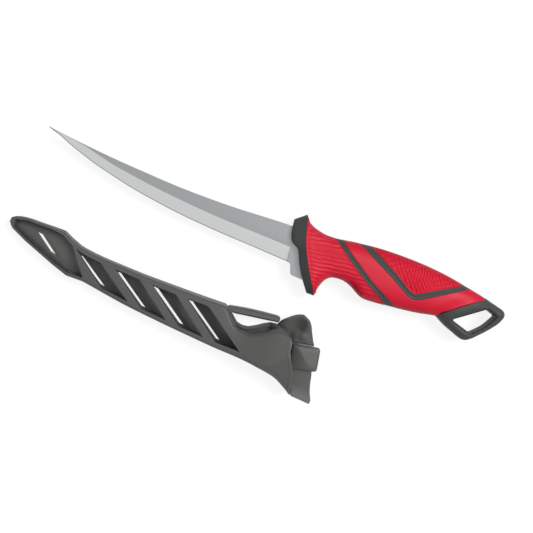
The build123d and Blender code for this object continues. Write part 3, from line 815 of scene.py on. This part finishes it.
def shell_grid(openings, rows, window_rows, plan_lines, radius_line, end_at, steps, tip_steps, end_steps):
    """Plan position of every point of a shell, with the faces that are left after its openings. Across is a
    sum of the two outlines, the two window lines and the corner radius, weighted by the row."""
    top, low, open_cells = shell_columns(openings, steps, tip_steps, end_steps)
    along = top[:, None] + (low - top)[:, None] * rows[:, 7]
    end_share = np.linspace(0, 1, end_steps + 1)[1:, None]
    along = np.concatenate([along, along[-1] + (end_at - along[-1]) * end_share])
    back, front = line_at(along, plan_lines[0]), line_at(along, plan_lines[1])
    radius = np.minimum(line_at(along, radius_line), CORNER_SHARE * (back - front))
    first, last = slice(window_rows[0], window_rows[0] + 1), slice(window_rows[1], window_rows[1] + 1)
    limit, middle = (back - radius)[:, first], (back + front)[:, first] / 2
    upper = np.clip(line_at(along[:, first], plan_lines[2]), middle, limit)
    limit, middle = (front + radius)[:, last], (back + front)[:, last] / 2
    lower = np.clip(line_at(along[:, last], plan_lines[3]), limit, middle)
    across = sum(rows[:, column] * part for column, part in enumerate((back, front, upper, lower, radius)))
    faces = grid_faces(*along.shape)
    cell_row, cell_column = np.divmod(np.arange(len(faces)), along.shape[1] - 1)
    hidden = open_cells[cell_row] & (cell_column >= window_rows[0]) & (cell_column < window_rows[1])
    return along, across, radius, back, front, faces[~hidden]


def finish_shell(name, points, faces, nodes, sizes, materials, edge_share=1.0):
    """A wall of the sheath: its outer surface as a mesh, with its thickness and rounded edges."""
    piece = make_piece(name, points, faces, "sheath", nodes, materials, sharp=40)
    thicken(piece, sizes.sheath_wall)
    soften(piece, sizes.sheath_edge * edge_share)


def mouth_at(rows, weights):
    """How far along the sheath each row ends: the mouth's line, read where the row crosses it."""
    return np.interp(rows @ np.array(weights), *np.array(MOUTH_LINE).T)


def notch_seam(seam, low, rows, along):
    """The seam's height, moved to another one along the belt notch on the upper wall."""
    notch = step(along, *NOTCH_START) * (1 - step(along, *NOTCH_END))
    return np.where(np.arange(len(rows)) < len(rows) / 2, seam + (low - seam) * notch, seam)


def make_sheath_front(sizes, materials):
    """Front shell: walls, rounded corners and a flat with leaning windows. Its height is the crest line plus
    a low parabola across, less a wing that falls away past a slanting crease, less a fine groove shaped like
    a bell curve along the rail, plus a bead of the same section round the mouth."""
    rows, first, last = shell_rows(5, 6, 3, 10)
    lines = (RAIL_LINE + FRONT_NOTCH_LINE[1:], LOW_LINE, WINDOW_TOP_LINE, WINDOW_LOW_LINE)
    end_at = mouth_at(rows, FRONT_MOUTH_WEIGHTS)
    along, across, radius, back, front, faces = shell_grid(
        WINDOWS, rows, (first, last), lines, FRONT_RADIUS_LINE, end_at, 5, 16, 34)
    crest, seam = line_at(along, CREST_LINE), line_at(along, SEAM_LINE)
    seam = notch_seam(seam, crest - radius - NOTCH_WALL, rows, along)
    flat = rows[:, 5]
    crown = 1 - ((2 * across - back - front) / (back - front)) ** 2
    height = seam * (1 - flat) + crest * flat + radius * rows[:, 6]
    height = height + CROWN * crown * flat * step(along, 0, 20)
    crease = (along - CREASE_POINT[0]) * CREASE_RUN[0] + (across - CREASE_POINT[1]) * CREASE_RUN[1]
    crease = crease / math.hypot(*CREASE_RUN)
    wing = np.clip(crease, 0, 40) * step(along, *WING_IN)
    height = np.maximum(height - flat * wing ** 0.9 * WING_FALL, seam + 0.2 * flat)
    groove = np.exp(-((back - across - GROOVE_PLACE * radius) / GROOVE_WIDTH) ** 2)
    groove = groove * step(along, *GROOVE_IN) * (1 - step(along, *GROOVE_OUT))
    bead = np.exp(-((along[-1] - along - BEAD_PLACE) / BEAD_WIDTH) ** 2) * (flat == 1)
    height = height - groove * GROOVE_DEPTH + bead * BEAD_HEIGHT
    points = np.stack([along, across, height], -1)
    finish_shell("sheath_front_shell", points, faces[:, ::-1], ["sheath_front"], sizes, materials)


def make_sheath_back(sizes, materials):
    """Back shell: a floor with leaning slits, quarter round corners and low walls up to the seam."""
    rows, first, last = shell_rows(4, 4, 2, 10)
    end_at = mouth_at(rows, BACK_MOUTH_WEIGHTS)
    end_at = np.where(rows[:, 5] * (rows[:, 6] == 0) > 0.99, np.minimum(end_at, FLOOR_END), end_at)
    width = sizes.slit_width / MM
    slits = [(top, top + width * top_share, low, low + width * low_share)
             for top, low, top_share, low_share in SLITS]
    lines = (RAIL_LINE + BACK_NOTCH_LINE[1:], LOW_LINE, SLIT_TOP_LINE, SLIT_LOW_LINE)
    along, across, radius, back, front, faces = shell_grid(
        slits, rows, (first, last), lines, BACK_RADIUS_LINE, end_at, 4, 14, 16)
    seam = notch_seam(line_at(along, SEAM_LINE) - SEAM_GAP, NOTCH_WALL_TOP, rows, along)
    height = seam * (1 - rows[:, 5]) - radius * rows[:, 6]
    points = np.stack([along, across, height], -1)
    finish_shell("sheath_back_shell", points, faces, ["sheath_back"], sizes, materials)


def make_tray(sizes, materials):
    """Open end of the back shell: a sheet between two plan lines. Its height is a line across, curled up on
    both sides, plus the step and the two soft bumps of the lobe, which are bell curves along it."""
    across = np.unique(np.concatenate([np.linspace(*band) for band in TRAY_BANDS]))
    left, right = line_at(across, TRAY_LEFT_LINE), line_at(across, TRAY_RIGHT_LINE)
    middle = np.maximum(left, BAY_START)
    along = np.concatenate([left[:, None] + (middle - left)[:, None] * np.linspace(0, 1, 13),
                            middle[:, None] + (right - middle)[:, None] * np.linspace(0, 1, 21)[1:]], 1)
    place = np.repeat(across[:, None], along.shape[1], 1)
    slope, start, edge = BAY_UPPER_LEAN
    fade = np.exp(-((np.clip(place, edge, None) - edge) / LEAN_FADE) ** 2) * (place > 8)
    rise = slope * np.clip(along - start, 0, 20) * fade
    slope, start, edge = BAY_LOWER_LEAN
    fade = np.exp(-((place - edge) / LEAN_FADE) ** 2) * (place < -4)
    rise = rise + slope * np.clip(along - start, 0, 13) * fade
    lobe = step(place, *LOBE_WALL) * step(along, *LOBE_IN) * LOBE_HEIGHT * (1 - step(place, *LOBE_FADE))
    lobe = lobe * step(right[:, None] - along, 0, 2.5)
    bumps = [size * np.exp(-((along - at) / width) ** 2) for size, at, width in LOBE_BUMPS]
    height = line_at(place, TRAY_HEIGHT_LINE) + sizes.sheath_wall / MM + lobe
    height = height + step(place, 12.0, 18.0) * sum(bumps)
    curled = across > 15
    sides = [np.stack([side, across], -1)[curled] for side in (left, right)]
    rim = np.concatenate([sides[0], sides[1][::-1]])
    flat = np.stack([along, place + rise], -1).reshape(-1, 2)
    lip = rounded_lip(gap_to(flat, rim), *LOBE_RIM).reshape(height.shape)
    height = height - lip * step(place, 17.0, 23.0)
    points = np.concatenate([flat, height.reshape(-1, 1)], 1)
    faces = grid_faces(*along.shape)
    cell_row, cell_column = np.divmod(np.arange(len(faces)), along.shape[1] - 1)
    bay = (cell_row >= BAY_CELLS[0]) & (cell_row < BAY_CELLS[1]) & (cell_column >= BAY_CELLS[2])
    finish_shell("sheath_tray", points, faces[~bay][:, ::-1], [], sizes, materials, edge_share=0.5)


def make_belt_clip(sizes, materials):
    """Spring arm: a superellipse carried along its curve, with fine lengthwise ridges and an elliptic free
    end, and the round knuckle at its root."""
    count, ring = 90, 64
    path = along_path(CLIP_LINE, count)
    heading = np.gradient(path[:, :2], axis=0)
    heading = heading / np.linalg.norm(heading, axis=1, keepdims=True)
    sideways = np.stack([-heading[:, 1], heading[:, 0]], 1)
    run = np.linspace(0, 1, count)
    close = np.sqrt(np.clip(1 - np.clip((run - 1 + CLIP_END) / CLIP_END, 0, 1) ** 2, 0, 1))
    close = close * np.sqrt(np.clip(run / CLIP_ROOT, 0, 1))
    angle = np.linspace(0, 2 * math.pi, ring, endpoint=False)
    out, up = signed_power(np.cos(angle), CLIP_POWER), signed_power(np.sin(angle), CLIP_POWER)
    ridge = 1 - CLIP_RIDGE * (up > 0.5) * (np.cos(out * 3 * math.pi) > 0.6)
    plan = path[:, None, :2] + sideways[:, None] * (out[None] * (path[:, 2] * close)[:, None])[..., None]
    height = CLIP_MIDDLE + sizes.clip_height / MM / 2 * up[None] * ridge[None] * close[:, None] ** 0.5
    points = np.concatenate([plan, height[..., None]], -1)
    turn = np.linspace(0, 2 * math.pi, 32, endpoint=False)
    radius, level = np.array(KNUCKLE_RINGS).T[..., None]
    x, y = KNUCKLE_PLACE[0] + radius * np.cos(turn), KNUCKLE_PLACE[1] + radius * np.sin(turn)
    knuckle = np.stack([x, y, np.broadcast_to(level, x.shape)], -1)
    faces = np.concatenate([grid_faces(count, ring, close_columns=True),
                            grid_faces(len(knuckle), 32, close_columns=True, first=count * ring)[:, ::-1]])
    points = np.concatenate([points.reshape(-1, 3), knuckle.reshape(-1, 3)])
    make_piece("belt_clip_arm", points, faces, "clip_arm", ["belt_clip"],
               materials, sharp=40)


def make_thumb_latch(sizes, materials):
    """Spring tongue with its pad: superellipse rings blended between four corners, under a dome that falls
    away on both sides of a diagonal crease."""
    ring = np.linspace(0, 2 * math.pi, 96, endpoint=False)
    reach = 1 - np.linspace(1, 0, 26) ** 2
    a = reach[:, None] * signed_power(np.cos(ring), 2 / PAD_POWER)
    b = reach[:, None] * signed_power(np.sin(ring), 2 / PAD_POWER)
    shares = ((1 - a) * (1 + b), (1 + a) * (1 + b), (1 + a) * (1 - b), (1 - a) * (1 - b))
    plan = sum(point * share[..., None] / 4 for point, share in zip(np.array(PAD_CORNERS), shares))
    dome = (1 - reach ** 5)[:, None] ** 0.5
    crease = (plan - PAD_CREASE_POINT) @ np.array(PAD_CREASE_RUN)
    fall = np.sqrt(crease ** 2 + 0.09) * np.where(crease > 0, *PAD_FALL)
    top = PAD_EDGE_TOP + (sizes.pad_height / MM - PAD_EDGE_TOP - fall) * dome
    under = np.full(top.shape, PAD_UNDER)
    upper, lower = [np.concatenate([plan, height[..., None]], -1) for height in (top, under)]
    points = np.concatenate([upper, lower[::-1]])
    faces = grid_faces(points.shape[0], len(ring), close_columns=True)[:, ::-1]
    tongue = np.array([[(x, y, z) for x, z in TONGUE_PROFILE] for y in TONGUE_ACROSS])
    tongue[0], tongue[3] = tongue[0].mean(0), tongue[3].mean(0)
    tongue_faces = grid_faces(4, len(TONGUE_PROFILE), close_columns=True, first=points.size // 3)
    faces = np.concatenate([faces, tongue_faces])
    points = np.concatenate([points.reshape(-1, 3), tongue.reshape(-1, 3)])
    make_piece("thumb_latch_pad", points, faces, "latch_tongue", ["thumb_latch"],
               materials, sharp=40)


# Materials

def linear_colour(code):
    """A hex sRGB colour as the linear values that shaders take."""
    channels = [int(code[start:start + 2], 16) / 255 for start in (1, 3, 5)]
    linear = [value / 12.92 if value <= 0.04045 else ((value + 0.055) / 1.055) ** 2.4 for value in channels]
    return linear + [1.0]


def add_node(tree, kind, settings=None, inputs=None, links=None):
    """Adds a node with its settings, its input values and the links into it."""
    node = tree.nodes.new(kind)
    for name, value in (settings or {}).items():
        setattr(node, name, value)
    for name, value in (inputs or {}).items():
        node.inputs[name].default_value = value
    for name, output in (links or {}).items():
        tree.links.new(output, node.inputs[name])
    return node


def new_material(name, colour, roughness, metallic=0.0, specular=0.5):
    """A material with its main shader, set to a colour and a roughness."""
    material = bpy.data.materials.new(name)
    material.use_nodes = True
    tree = material.node_tree
    shader = tree.nodes["Principled BSDF"]
    shader.inputs["Base Color"].default_value = colour
    shader.inputs["Roughness"].default_value = roughness
    shader.inputs["Metallic"].default_value = metallic
    if not metallic:
        shader.inputs["Specular IOR Level"].default_value = specular
    return material, tree, shader


def add_grain(tree, shader, stretch, spacing, strength, depth):
    """A fine noise in the object's own coordinates, stretched along each axis, that tilts the surface."""
    place = add_node(tree, "ShaderNodeTexCoord")
    turn = add_node(tree, "ShaderNodeMapping", inputs={"Scale": stretch},
                    links={"Vector": place.outputs["Object"]})
    noise = add_node(tree, "ShaderNodeTexNoise", inputs={"Scale": 1 / (spacing * MM), "Detail": 3.0},
                     links={"Vector": turn.outputs["Vector"]})
    bump = add_node(tree, "ShaderNodeBump", inputs={"Strength": strength, "Distance": depth * MM},
                    links={"Height": noise.outputs["Fac"]})
    tree.links.new(bump.outputs["Normal"], shader.inputs["Normal"])
    return noise


def steel_material(name, colour, roughness, grain):
    """Stainless steel, ground on a belt: grey metal with fine lines across the blade, which blur what it
    mirrors along the blade."""
    material, tree, shader = new_material(name, colour, roughness, metallic=1.0)
    noise = add_grain(tree, shader, (1.0, 0.03, 0.03), GRIND_LINE_SPACING, grain, 0.2)
    limits = {"To Min": roughness - 0.04, "To Max": roughness + 0.04}
    spread = add_node(tree, "ShaderNodeMapRange", inputs=limits, links={"Value": noise.outputs["Fac"]})
    tree.links.new(spread.outputs["Result"], shader.inputs["Roughness"])
    return material


def moulded_material(name, colour, roughness, specular, spacing, grain):
    """Moulded plastic or rubber with a fine texture: one even colour, and highlights broken up by it."""
    material = bpy.data.materials.get(name)
    if material is None:
        material, tree, shader = new_material(name, colour, roughness, specular=specular)
        add_grain(tree, shader, (1.0, 1.0, 1.0), spacing, grain, 0.12)
    material.node_tree.nodes["Principled BSDF"].inputs["Base Color"].default_value = colour
    return material


def handle_nylon(colours):
    """Glass-filled nylon, injection moulded: near black and matte, with a weak broad sheen on the rims."""
    return [moulded_material("matte_black_nylon", colours.nylon, 0.52, 0.25, NYLON_GRAIN, 0.3)]


def grip_rubber(colours):
    """Soft thermoplastic rubber moulded over the nylon: deep red, with a dull sheen and no sharp glint."""
    return [moulded_material("red_moulded_rubber", colours.rubber, 0.5, 0.3, RUBBER_GRAIN, 0.22)]


def sheath_plastic(colours):
    """Polypropylene, injection moulded with a spark-eroded grain: dark grey, with a soft satin sheen."""
    return [moulded_material("dark_grey_polypropylene", colours.sheath, 0.48, 0.4, SHEATH_GRAIN, 0.30)]


def blade_steel(colours):
    """Stainless steel for the flat, the ground bevel and the honed edge of the blade, with a painted
    highlight in the bevel's colour and painted shade in the edge's.
    """
    return [
        # Satin flat: mid grey, with a soft stretched reflection
        steel_material("satin_steel_flat", colours.steel_flat, 0.29, 0.05),
        # Belt-ground bevel, with grinding lines across it: a lighter grey than the flat, which is a painted
        # highlight for its brighter reflection
        steel_material("belt_ground_bevel_with_painted_highlight", colours.bevel_painted_highlight, 0.28, 0.14),
        # Honed edge: a narrow line, with a darker grey than the bevel painted in as shade for its steeper
        # tilt
        steel_material("honed_edge_with_painted_shade", colours.edge_painted_shade, 0.26, 0.05),
    ]


# Sizes and colours

class KnifeSceneSizes(bpy.types.PropertyGroup):
    """Sizes of the knife, the sheath and the stage."""
    blade_thickness: bpy.props.FloatProperty(
        name="Blade thickness", description="Thickness of the blade at its back",
        default=0.002, min=0.001, max=0.004, unit="LENGTH")
    rubber_thickness: bpy.props.FloatProperty(
        name="Rubber thickness", description="Thickness of the rubber grips and of the bands",
        default=0.0019, min=0.0008, max=0.003, unit="LENGTH")
    rib_pitch: bpy.props.FloatProperty(
        name="Rib pitch", description="Distance between the ribs of the front grip",
        default=0.00237, min=0.001, max=0.004, unit="LENGTH")
    rib_depth: bpy.props.FloatProperty(
        name="Rib depth", description="Depth of the ribs of the front grip",
        default=0.0004, min=0.0, max=0.001, unit="LENGTH")
    scale_pitch: bpy.props.FloatProperty(
        name="Diamond pitch", description="Width of the diamonds of the rear grip",
        default=0.00175, min=0.001, max=0.004, unit="LENGTH")
    scale_depth: bpy.props.FloatProperty(
        name="Diamond depth", description="Depth of the diamonds of the rear grip",
        default=0.0008, min=0.0, max=0.0012, unit="LENGTH")
    lip_radius: bpy.props.FloatProperty(
        name="Lip radius", description="Rounding of the moulded parts at their borders",
        default=0.0005, min=0.0002, max=0.002, unit="LENGTH")
    lip_depth: bpy.props.FloatProperty(
        name="Lip depth", description="How far the moulded parts drop at their borders",
        default=0.0003, min=0.0, max=0.0015, unit="LENGTH")
    band_sink: bpy.props.FloatProperty(
        name="Band sink", description="How far the nylon bands lie below the rubber",
        default=0.0001, min=0.0, max=0.001, unit="LENGTH")
    band_groove: bpy.props.FloatProperty(
        name="Band groove", description="Depth of the groove along the bands",
        default=0.0005, min=0.0, max=0.001, unit="LENGTH")
    guard_front: bpy.props.FloatProperty(
        name="Guard front", description="Thickness of the guard at its front edge",
        default=0.015, min=0.008, max=0.02, unit="LENGTH")
    sheath_wall: bpy.props.FloatProperty(
        name="Sheath wall", description="Thickness of the walls of the sheath",
        default=0.0021, min=0.001, max=0.003, unit="LENGTH")
    sheath_edge: bpy.props.FloatProperty(
        name="Sheath edge", description="Rounding of the cut edges of the sheath",
        default=0.00035, min=0.0, max=0.001, unit="LENGTH")
    slit_width: bpy.props.FloatProperty(
        name="Slit width", description="Width of the slits in the back of the sheath",
        default=0.0034, min=0.001, max=0.006, unit="LENGTH")
    clip_height: bpy.props.FloatProperty(
        name="Clip height", description="Height of the belt clip's arm",
        default=0.01, min=0.005, max=0.014, unit="LENGTH")
    pad_height: bpy.props.FloatProperty(
        name="Latch pad height", description="Top of the latch's pad above the surface",
        default=0.0062, min=0.005, max=0.008, unit="LENGTH")
    lamp_strength: bpy.props.FloatProperty(
        name="Lamp strength", description="Power of the main soft lamp",
        default=9.6, min=0.0, max=100.0, unit="POWER")
    panel_strength: bpy.props.FloatProperty(
        name="Panel strength", description="Power of the wide soft panel overhead",
        default=7.8, min=0.0, max=100.0, unit="POWER")
    world_strength: bpy.props.FloatProperty(
        name="Surrounding light", description="Strength of the even light from all round",
        default=0.12, min=0.0, max=3.0)


class KnifeSceneColours(bpy.types.PropertyGroup):
    """Colours of the knife, the sheath and the stage."""
    steel_flat: bpy.props.FloatVectorProperty(
        name="Blade flat", description="Colour of the blade's flat",
        subtype="COLOR", size=4, default=linear_colour("#999B9D"))
    # Lighter than the flat: a painted highlight for the bevel's brighter reflection, on the same steel
    bevel_painted_highlight: bpy.props.FloatVectorProperty(
        name="Blade bevel", description="Colour of the blade's ground bevel",
        subtype="COLOR", size=4, default=linear_colour("#C5C7C7"))
    # Darker than the bevel: painted shade for the edge's steeper tilt, on the same steel
    edge_painted_shade: bpy.props.FloatVectorProperty(
        name="Blade edge", description="Colour of the fine bevel at the edge",
        subtype="COLOR", size=4, default=linear_colour("#8F9294"))
    rubber: bpy.props.FloatVectorProperty(
        name="Rubber", description="Colour of the rubber grips",
        subtype="COLOR", size=4, default=linear_colour("#C8102E"))
    nylon: bpy.props.FloatVectorProperty(
        name="Nylon", description="Colour of the guard, the bands and the pommel",
        subtype="COLOR", size=4, default=linear_colour("#3C3F3E"))
    sheath: bpy.props.FloatVectorProperty(
        name="Sheath", description="Colour of the sheath",
        subtype="COLOR", size=4, default=linear_colour("#4E4E4D"))
    floor: bpy.props.FloatVectorProperty(
        name="Floor", description="Colour of the floor",
        subtype="COLOR", size=4, default=linear_colour("#767676"))


# Operators

class FILLET_KNIFE_OT_blade(bpy.types.Operator):
    """Adds the blade"""
    bl_idname = "fillet_knife.blade"
    bl_label = "Blade"

    def execute(self, context):
        make_blade(context.scene.knife_sizes, blade_steel(context.scene.knife_colours))
        return {"FINISHED"}


class FILLET_KNIFE_OT_core(bpy.types.Operator):
    """Adds the nylon parts of the handle: the guard, the core, both bands and the pommel"""
    bl_idname = "fillet_knife.core"
    bl_label = "Handle core"

    def execute(self, context):
        nylon = handle_nylon(context.scene.knife_colours)
        for make in (make_guard, make_core, make_first_band, make_second_band, make_pommel):
            make(context.scene.knife_sizes, nylon)
        return {"FINISHED"}


class FILLET_KNIFE_OT_grips(bpy.types.Operator):
    """Adds the three rubber grips"""
    bl_idname = "fillet_knife.grips"
    bl_label = "Rubber grips"

    def execute(self, context):
        rubber = grip_rubber(context.scene.knife_colours)
        for make in (make_front_grip, make_middle_grip, make_rear_grip):
            make(context.scene.knife_sizes, rubber)
        return {"FINISHED"}


class FILLET_KNIFE_OT_shells(bpy.types.Operator):
    """Adds the front and back shells of the sheath and its open tray"""
    bl_idname = "fillet_knife.shells"
    bl_label = "Sheath shells"

    def execute(self, context):
        plastic = sheath_plastic(context.scene.knife_colours)
        for make in (make_sheath_front, make_sheath_back, make_tray):
            make(context.scene.knife_sizes, plastic)
        return {"FINISHED"}


class FILLET_KNIFE_OT_belt_clip(bpy.types.Operator):
    """Adds the spring arm of the belt clip"""
    bl_idname = "fillet_knife.belt_clip"
    bl_label = "Belt clip"

    def execute(self, context):
        make_belt_clip(context.scene.knife_sizes, sheath_plastic(context.scene.knife_colours))
        return {"FINISHED"}


class FILLET_KNIFE_OT_thumb_latch(bpy.types.Operator):
    """Adds the spring tongue of the latch with its pad"""
    bl_idname = "fillet_knife.thumb_latch"
    bl_label = "Thumb latch"

    def execute(self, context):
        make_thumb_latch(context.scene.knife_sizes, sheath_plastic(context.scene.knife_colours))
        return {"FINISHED"}


# Stage

def rays_seen(tree):
    """1 for the rays that show a background: to the camera, in a reflection or through a clear surface."""
    path = add_node(tree, "ShaderNodeLightPath")
    seen = path.outputs["Is Camera Ray"]
    for name in ("Is Glossy Ray", "Is Transmission Ray"):
        links = {0: seen, 1: path.outputs[name]}
        seen = add_node(tree, "ShaderNodeMath", {"operation": "MAXIMUM"}, links=links).outputs["Value"]
    return seen


def make_floor(colour):
    """White floor: matte paper, whose glow shows as white to the camera and in reflections, while its own
    mid grey keeps the object's soft shadow and throws little light back."""
    mesh = bpy.data.meshes.new("floor")
    corners = [(x * FLOOR_REACH, y * FLOOR_REACH, 0) for x, y in ((-1, -1), (1, -1), (1, 1), (-1, 1))]
    mesh.from_pydata(corners, [], [(0, 1, 2, 3)])
    floor = bpy.data.objects.new("floor", mesh)
    bpy.context.scene.collection.objects.link(floor)
    floor.location.z = FLOOR_HEIGHT
    material, tree, shader = new_material("white_paper_floor", colour, 0.9, specular=0.1)
    glow = add_node(tree, "ShaderNodeMath", {"operation": "MULTIPLY"}, {1: FLOOR_GLOW}, {0: rays_seen(tree)})
    shader.inputs["Emission Color"].default_value = WHITE
    tree.links.new(glow.outputs["Value"], shader.inputs["Emission Strength"])
    mesh.materials.append(material)


def light_world(context, strength):
    """Even light from all round, which the camera and reflections see as white."""
    world = context.scene.world or bpy.data.worlds.new("studio")
    context.scene.world = world
    world.use_nodes = True
    tree = world.node_tree
    background = tree.nodes["Background"]
    background.inputs["Color"].default_value = WHITE
    shown = add_node(tree, "ShaderNodeMath", {"operation": "MAXIMUM"}, {1: strength}, {0: rays_seen(tree)})
    tree.links.new(shown.outputs["Value"], background.inputs["Strength"])


def add_lamp(name, place, size, power, mirrored=True):
    """Soft square lamp above the object, aimed at its middle, which glossy surfaces mirror or not."""
    lamp = bpy.data.lights.new(name, "AREA")
    lamp.shape = "SQUARE"
    lamp.size = size
    lamp.energy = power
    holder = bpy.data.objects.new(name, lamp)
    bpy.context.scene.collection.objects.link(holder)
    holder.location = place
    holder.visible_glossy = mirrored
    holder.rotation_euler = (-Vector(place)).to_track_quat("-Z", "Y").to_euler()


def add_camera(context, right):
    """Camera at its place, looking at its aim, with its picture's right side turned as given."""
    camera = bpy.data.cameras.new("camera")
    camera.sensor_width = CAMERA_SENSOR
    camera.lens = CAMERA_LENS
    camera.clip_start = 0.01
    camera.clip_end = FLOOR_REACH
    holder = bpy.data.objects.new("camera", camera)
    context.scene.collection.objects.link(holder)
    back = (CAMERA_PLACE - CAMERA_AIM).normalized()
    side = (right - back * right.dot(back)).normalized()
    axes = (side, back.cross(side), back, CAMERA_PLACE)
    holder.matrix_world = Matrix([[axis[row] for axis in axes] for row in range(3)] + [[0, 0, 0, 1]])
    context.scene.camera = holder


class FILLET_KNIFE_OT_stage(bpy.types.Operator):
    """Adds the floor, the light and the camera"""
    bl_idname = "fillet_knife.stage"
    bl_label = "Stage"

    def execute(self, context):
        sizes = context.scene.knife_sizes
        make_floor(context.scene.knife_colours.floor)
        right = Vector((math.cos(CAMERA_ROLL), math.sin(CAMERA_ROLL), 0))
        up = Vector((-math.sin(CAMERA_ROLL), math.cos(CAMERA_ROLL), 0))
        place = up * MAIN_LAMP_PLACE[1] + right * MAIN_LAMP_PLACE[0] + Vector((0, 0, MAIN_LAMP_PLACE[2]))
        add_lamp("main_softbox", place, MAIN_LAMP_SIZE, sizes.lamp_strength)
        add_lamp("overhead_panel", PANEL_PLACE, PANEL_SIZE, sizes.panel_strength, mirrored=False)
        light_world(context, sizes.world_strength)
        add_camera(context, right)
        context.scene.view_settings.view_transform = "Standard"
        return {"FINISHED"}


class FILLET_KNIFE_PT_sidebar(bpy.types.Panel):
    """Lists the sizes, the colours and the operators"""
    bl_idname = "FILLET_KNIFE_PT_sidebar"
    bl_label = "Fillet Knife and Sheath"
    bl_space_type = "VIEW_3D"
    bl_region_type = "UI"
    bl_category = "Fillet Knife"

    def draw(self, context):
        for group in (context.scene.knife_sizes, context.scene.knife_colours):
            for name in group.__annotations__:
                self.layout.prop(group, name)
        for operator in OPERATORS:
            self.layout.operator(operator.bl_idname)


OPERATORS = (FILLET_KNIFE_OT_blade, FILLET_KNIFE_OT_core, FILLET_KNIFE_OT_grips, FILLET_KNIFE_OT_shells,
             FILLET_KNIFE_OT_belt_clip, FILLET_KNIFE_OT_thumb_latch, FILLET_KNIFE_OT_stage)
CLASSES = (KnifeSceneSizes, KnifeSceneColours, *OPERATORS, FILLET_KNIFE_PT_sidebar)


def register():
    """Registers the classes and hangs the sizes and the colours on the scene."""
    for each in CLASSES:
        bpy.utils.register_class(each)
    bpy.types.Scene.knife_sizes = bpy.props.PointerProperty(type=KnifeSceneSizes)
    bpy.types.Scene.knife_colours = bpy.props.PointerProperty(type=KnifeSceneColours)


def unregister():
    """Takes off what register added."""
    del bpy.types.Scene.knife_colours
    del bpy.types.Scene.knife_sizes
    for each in reversed(CLASSES):
        bpy.utils.unregister_class(each)


def main():
    """Builds everything through the operators."""
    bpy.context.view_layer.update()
    register()
    bpy.ops.fillet_knife.blade()
    bpy.ops.fillet_knife.core()
    bpy.ops.fillet_knife.grips()
    bpy.ops.fillet_knife.shells()
    bpy.ops.fillet_knife.belt_clip()
    bpy.ops.fillet_knife.thumb_latch()
    bpy.ops.fillet_knife.stage()


if __name__ == "__main__":
    main()
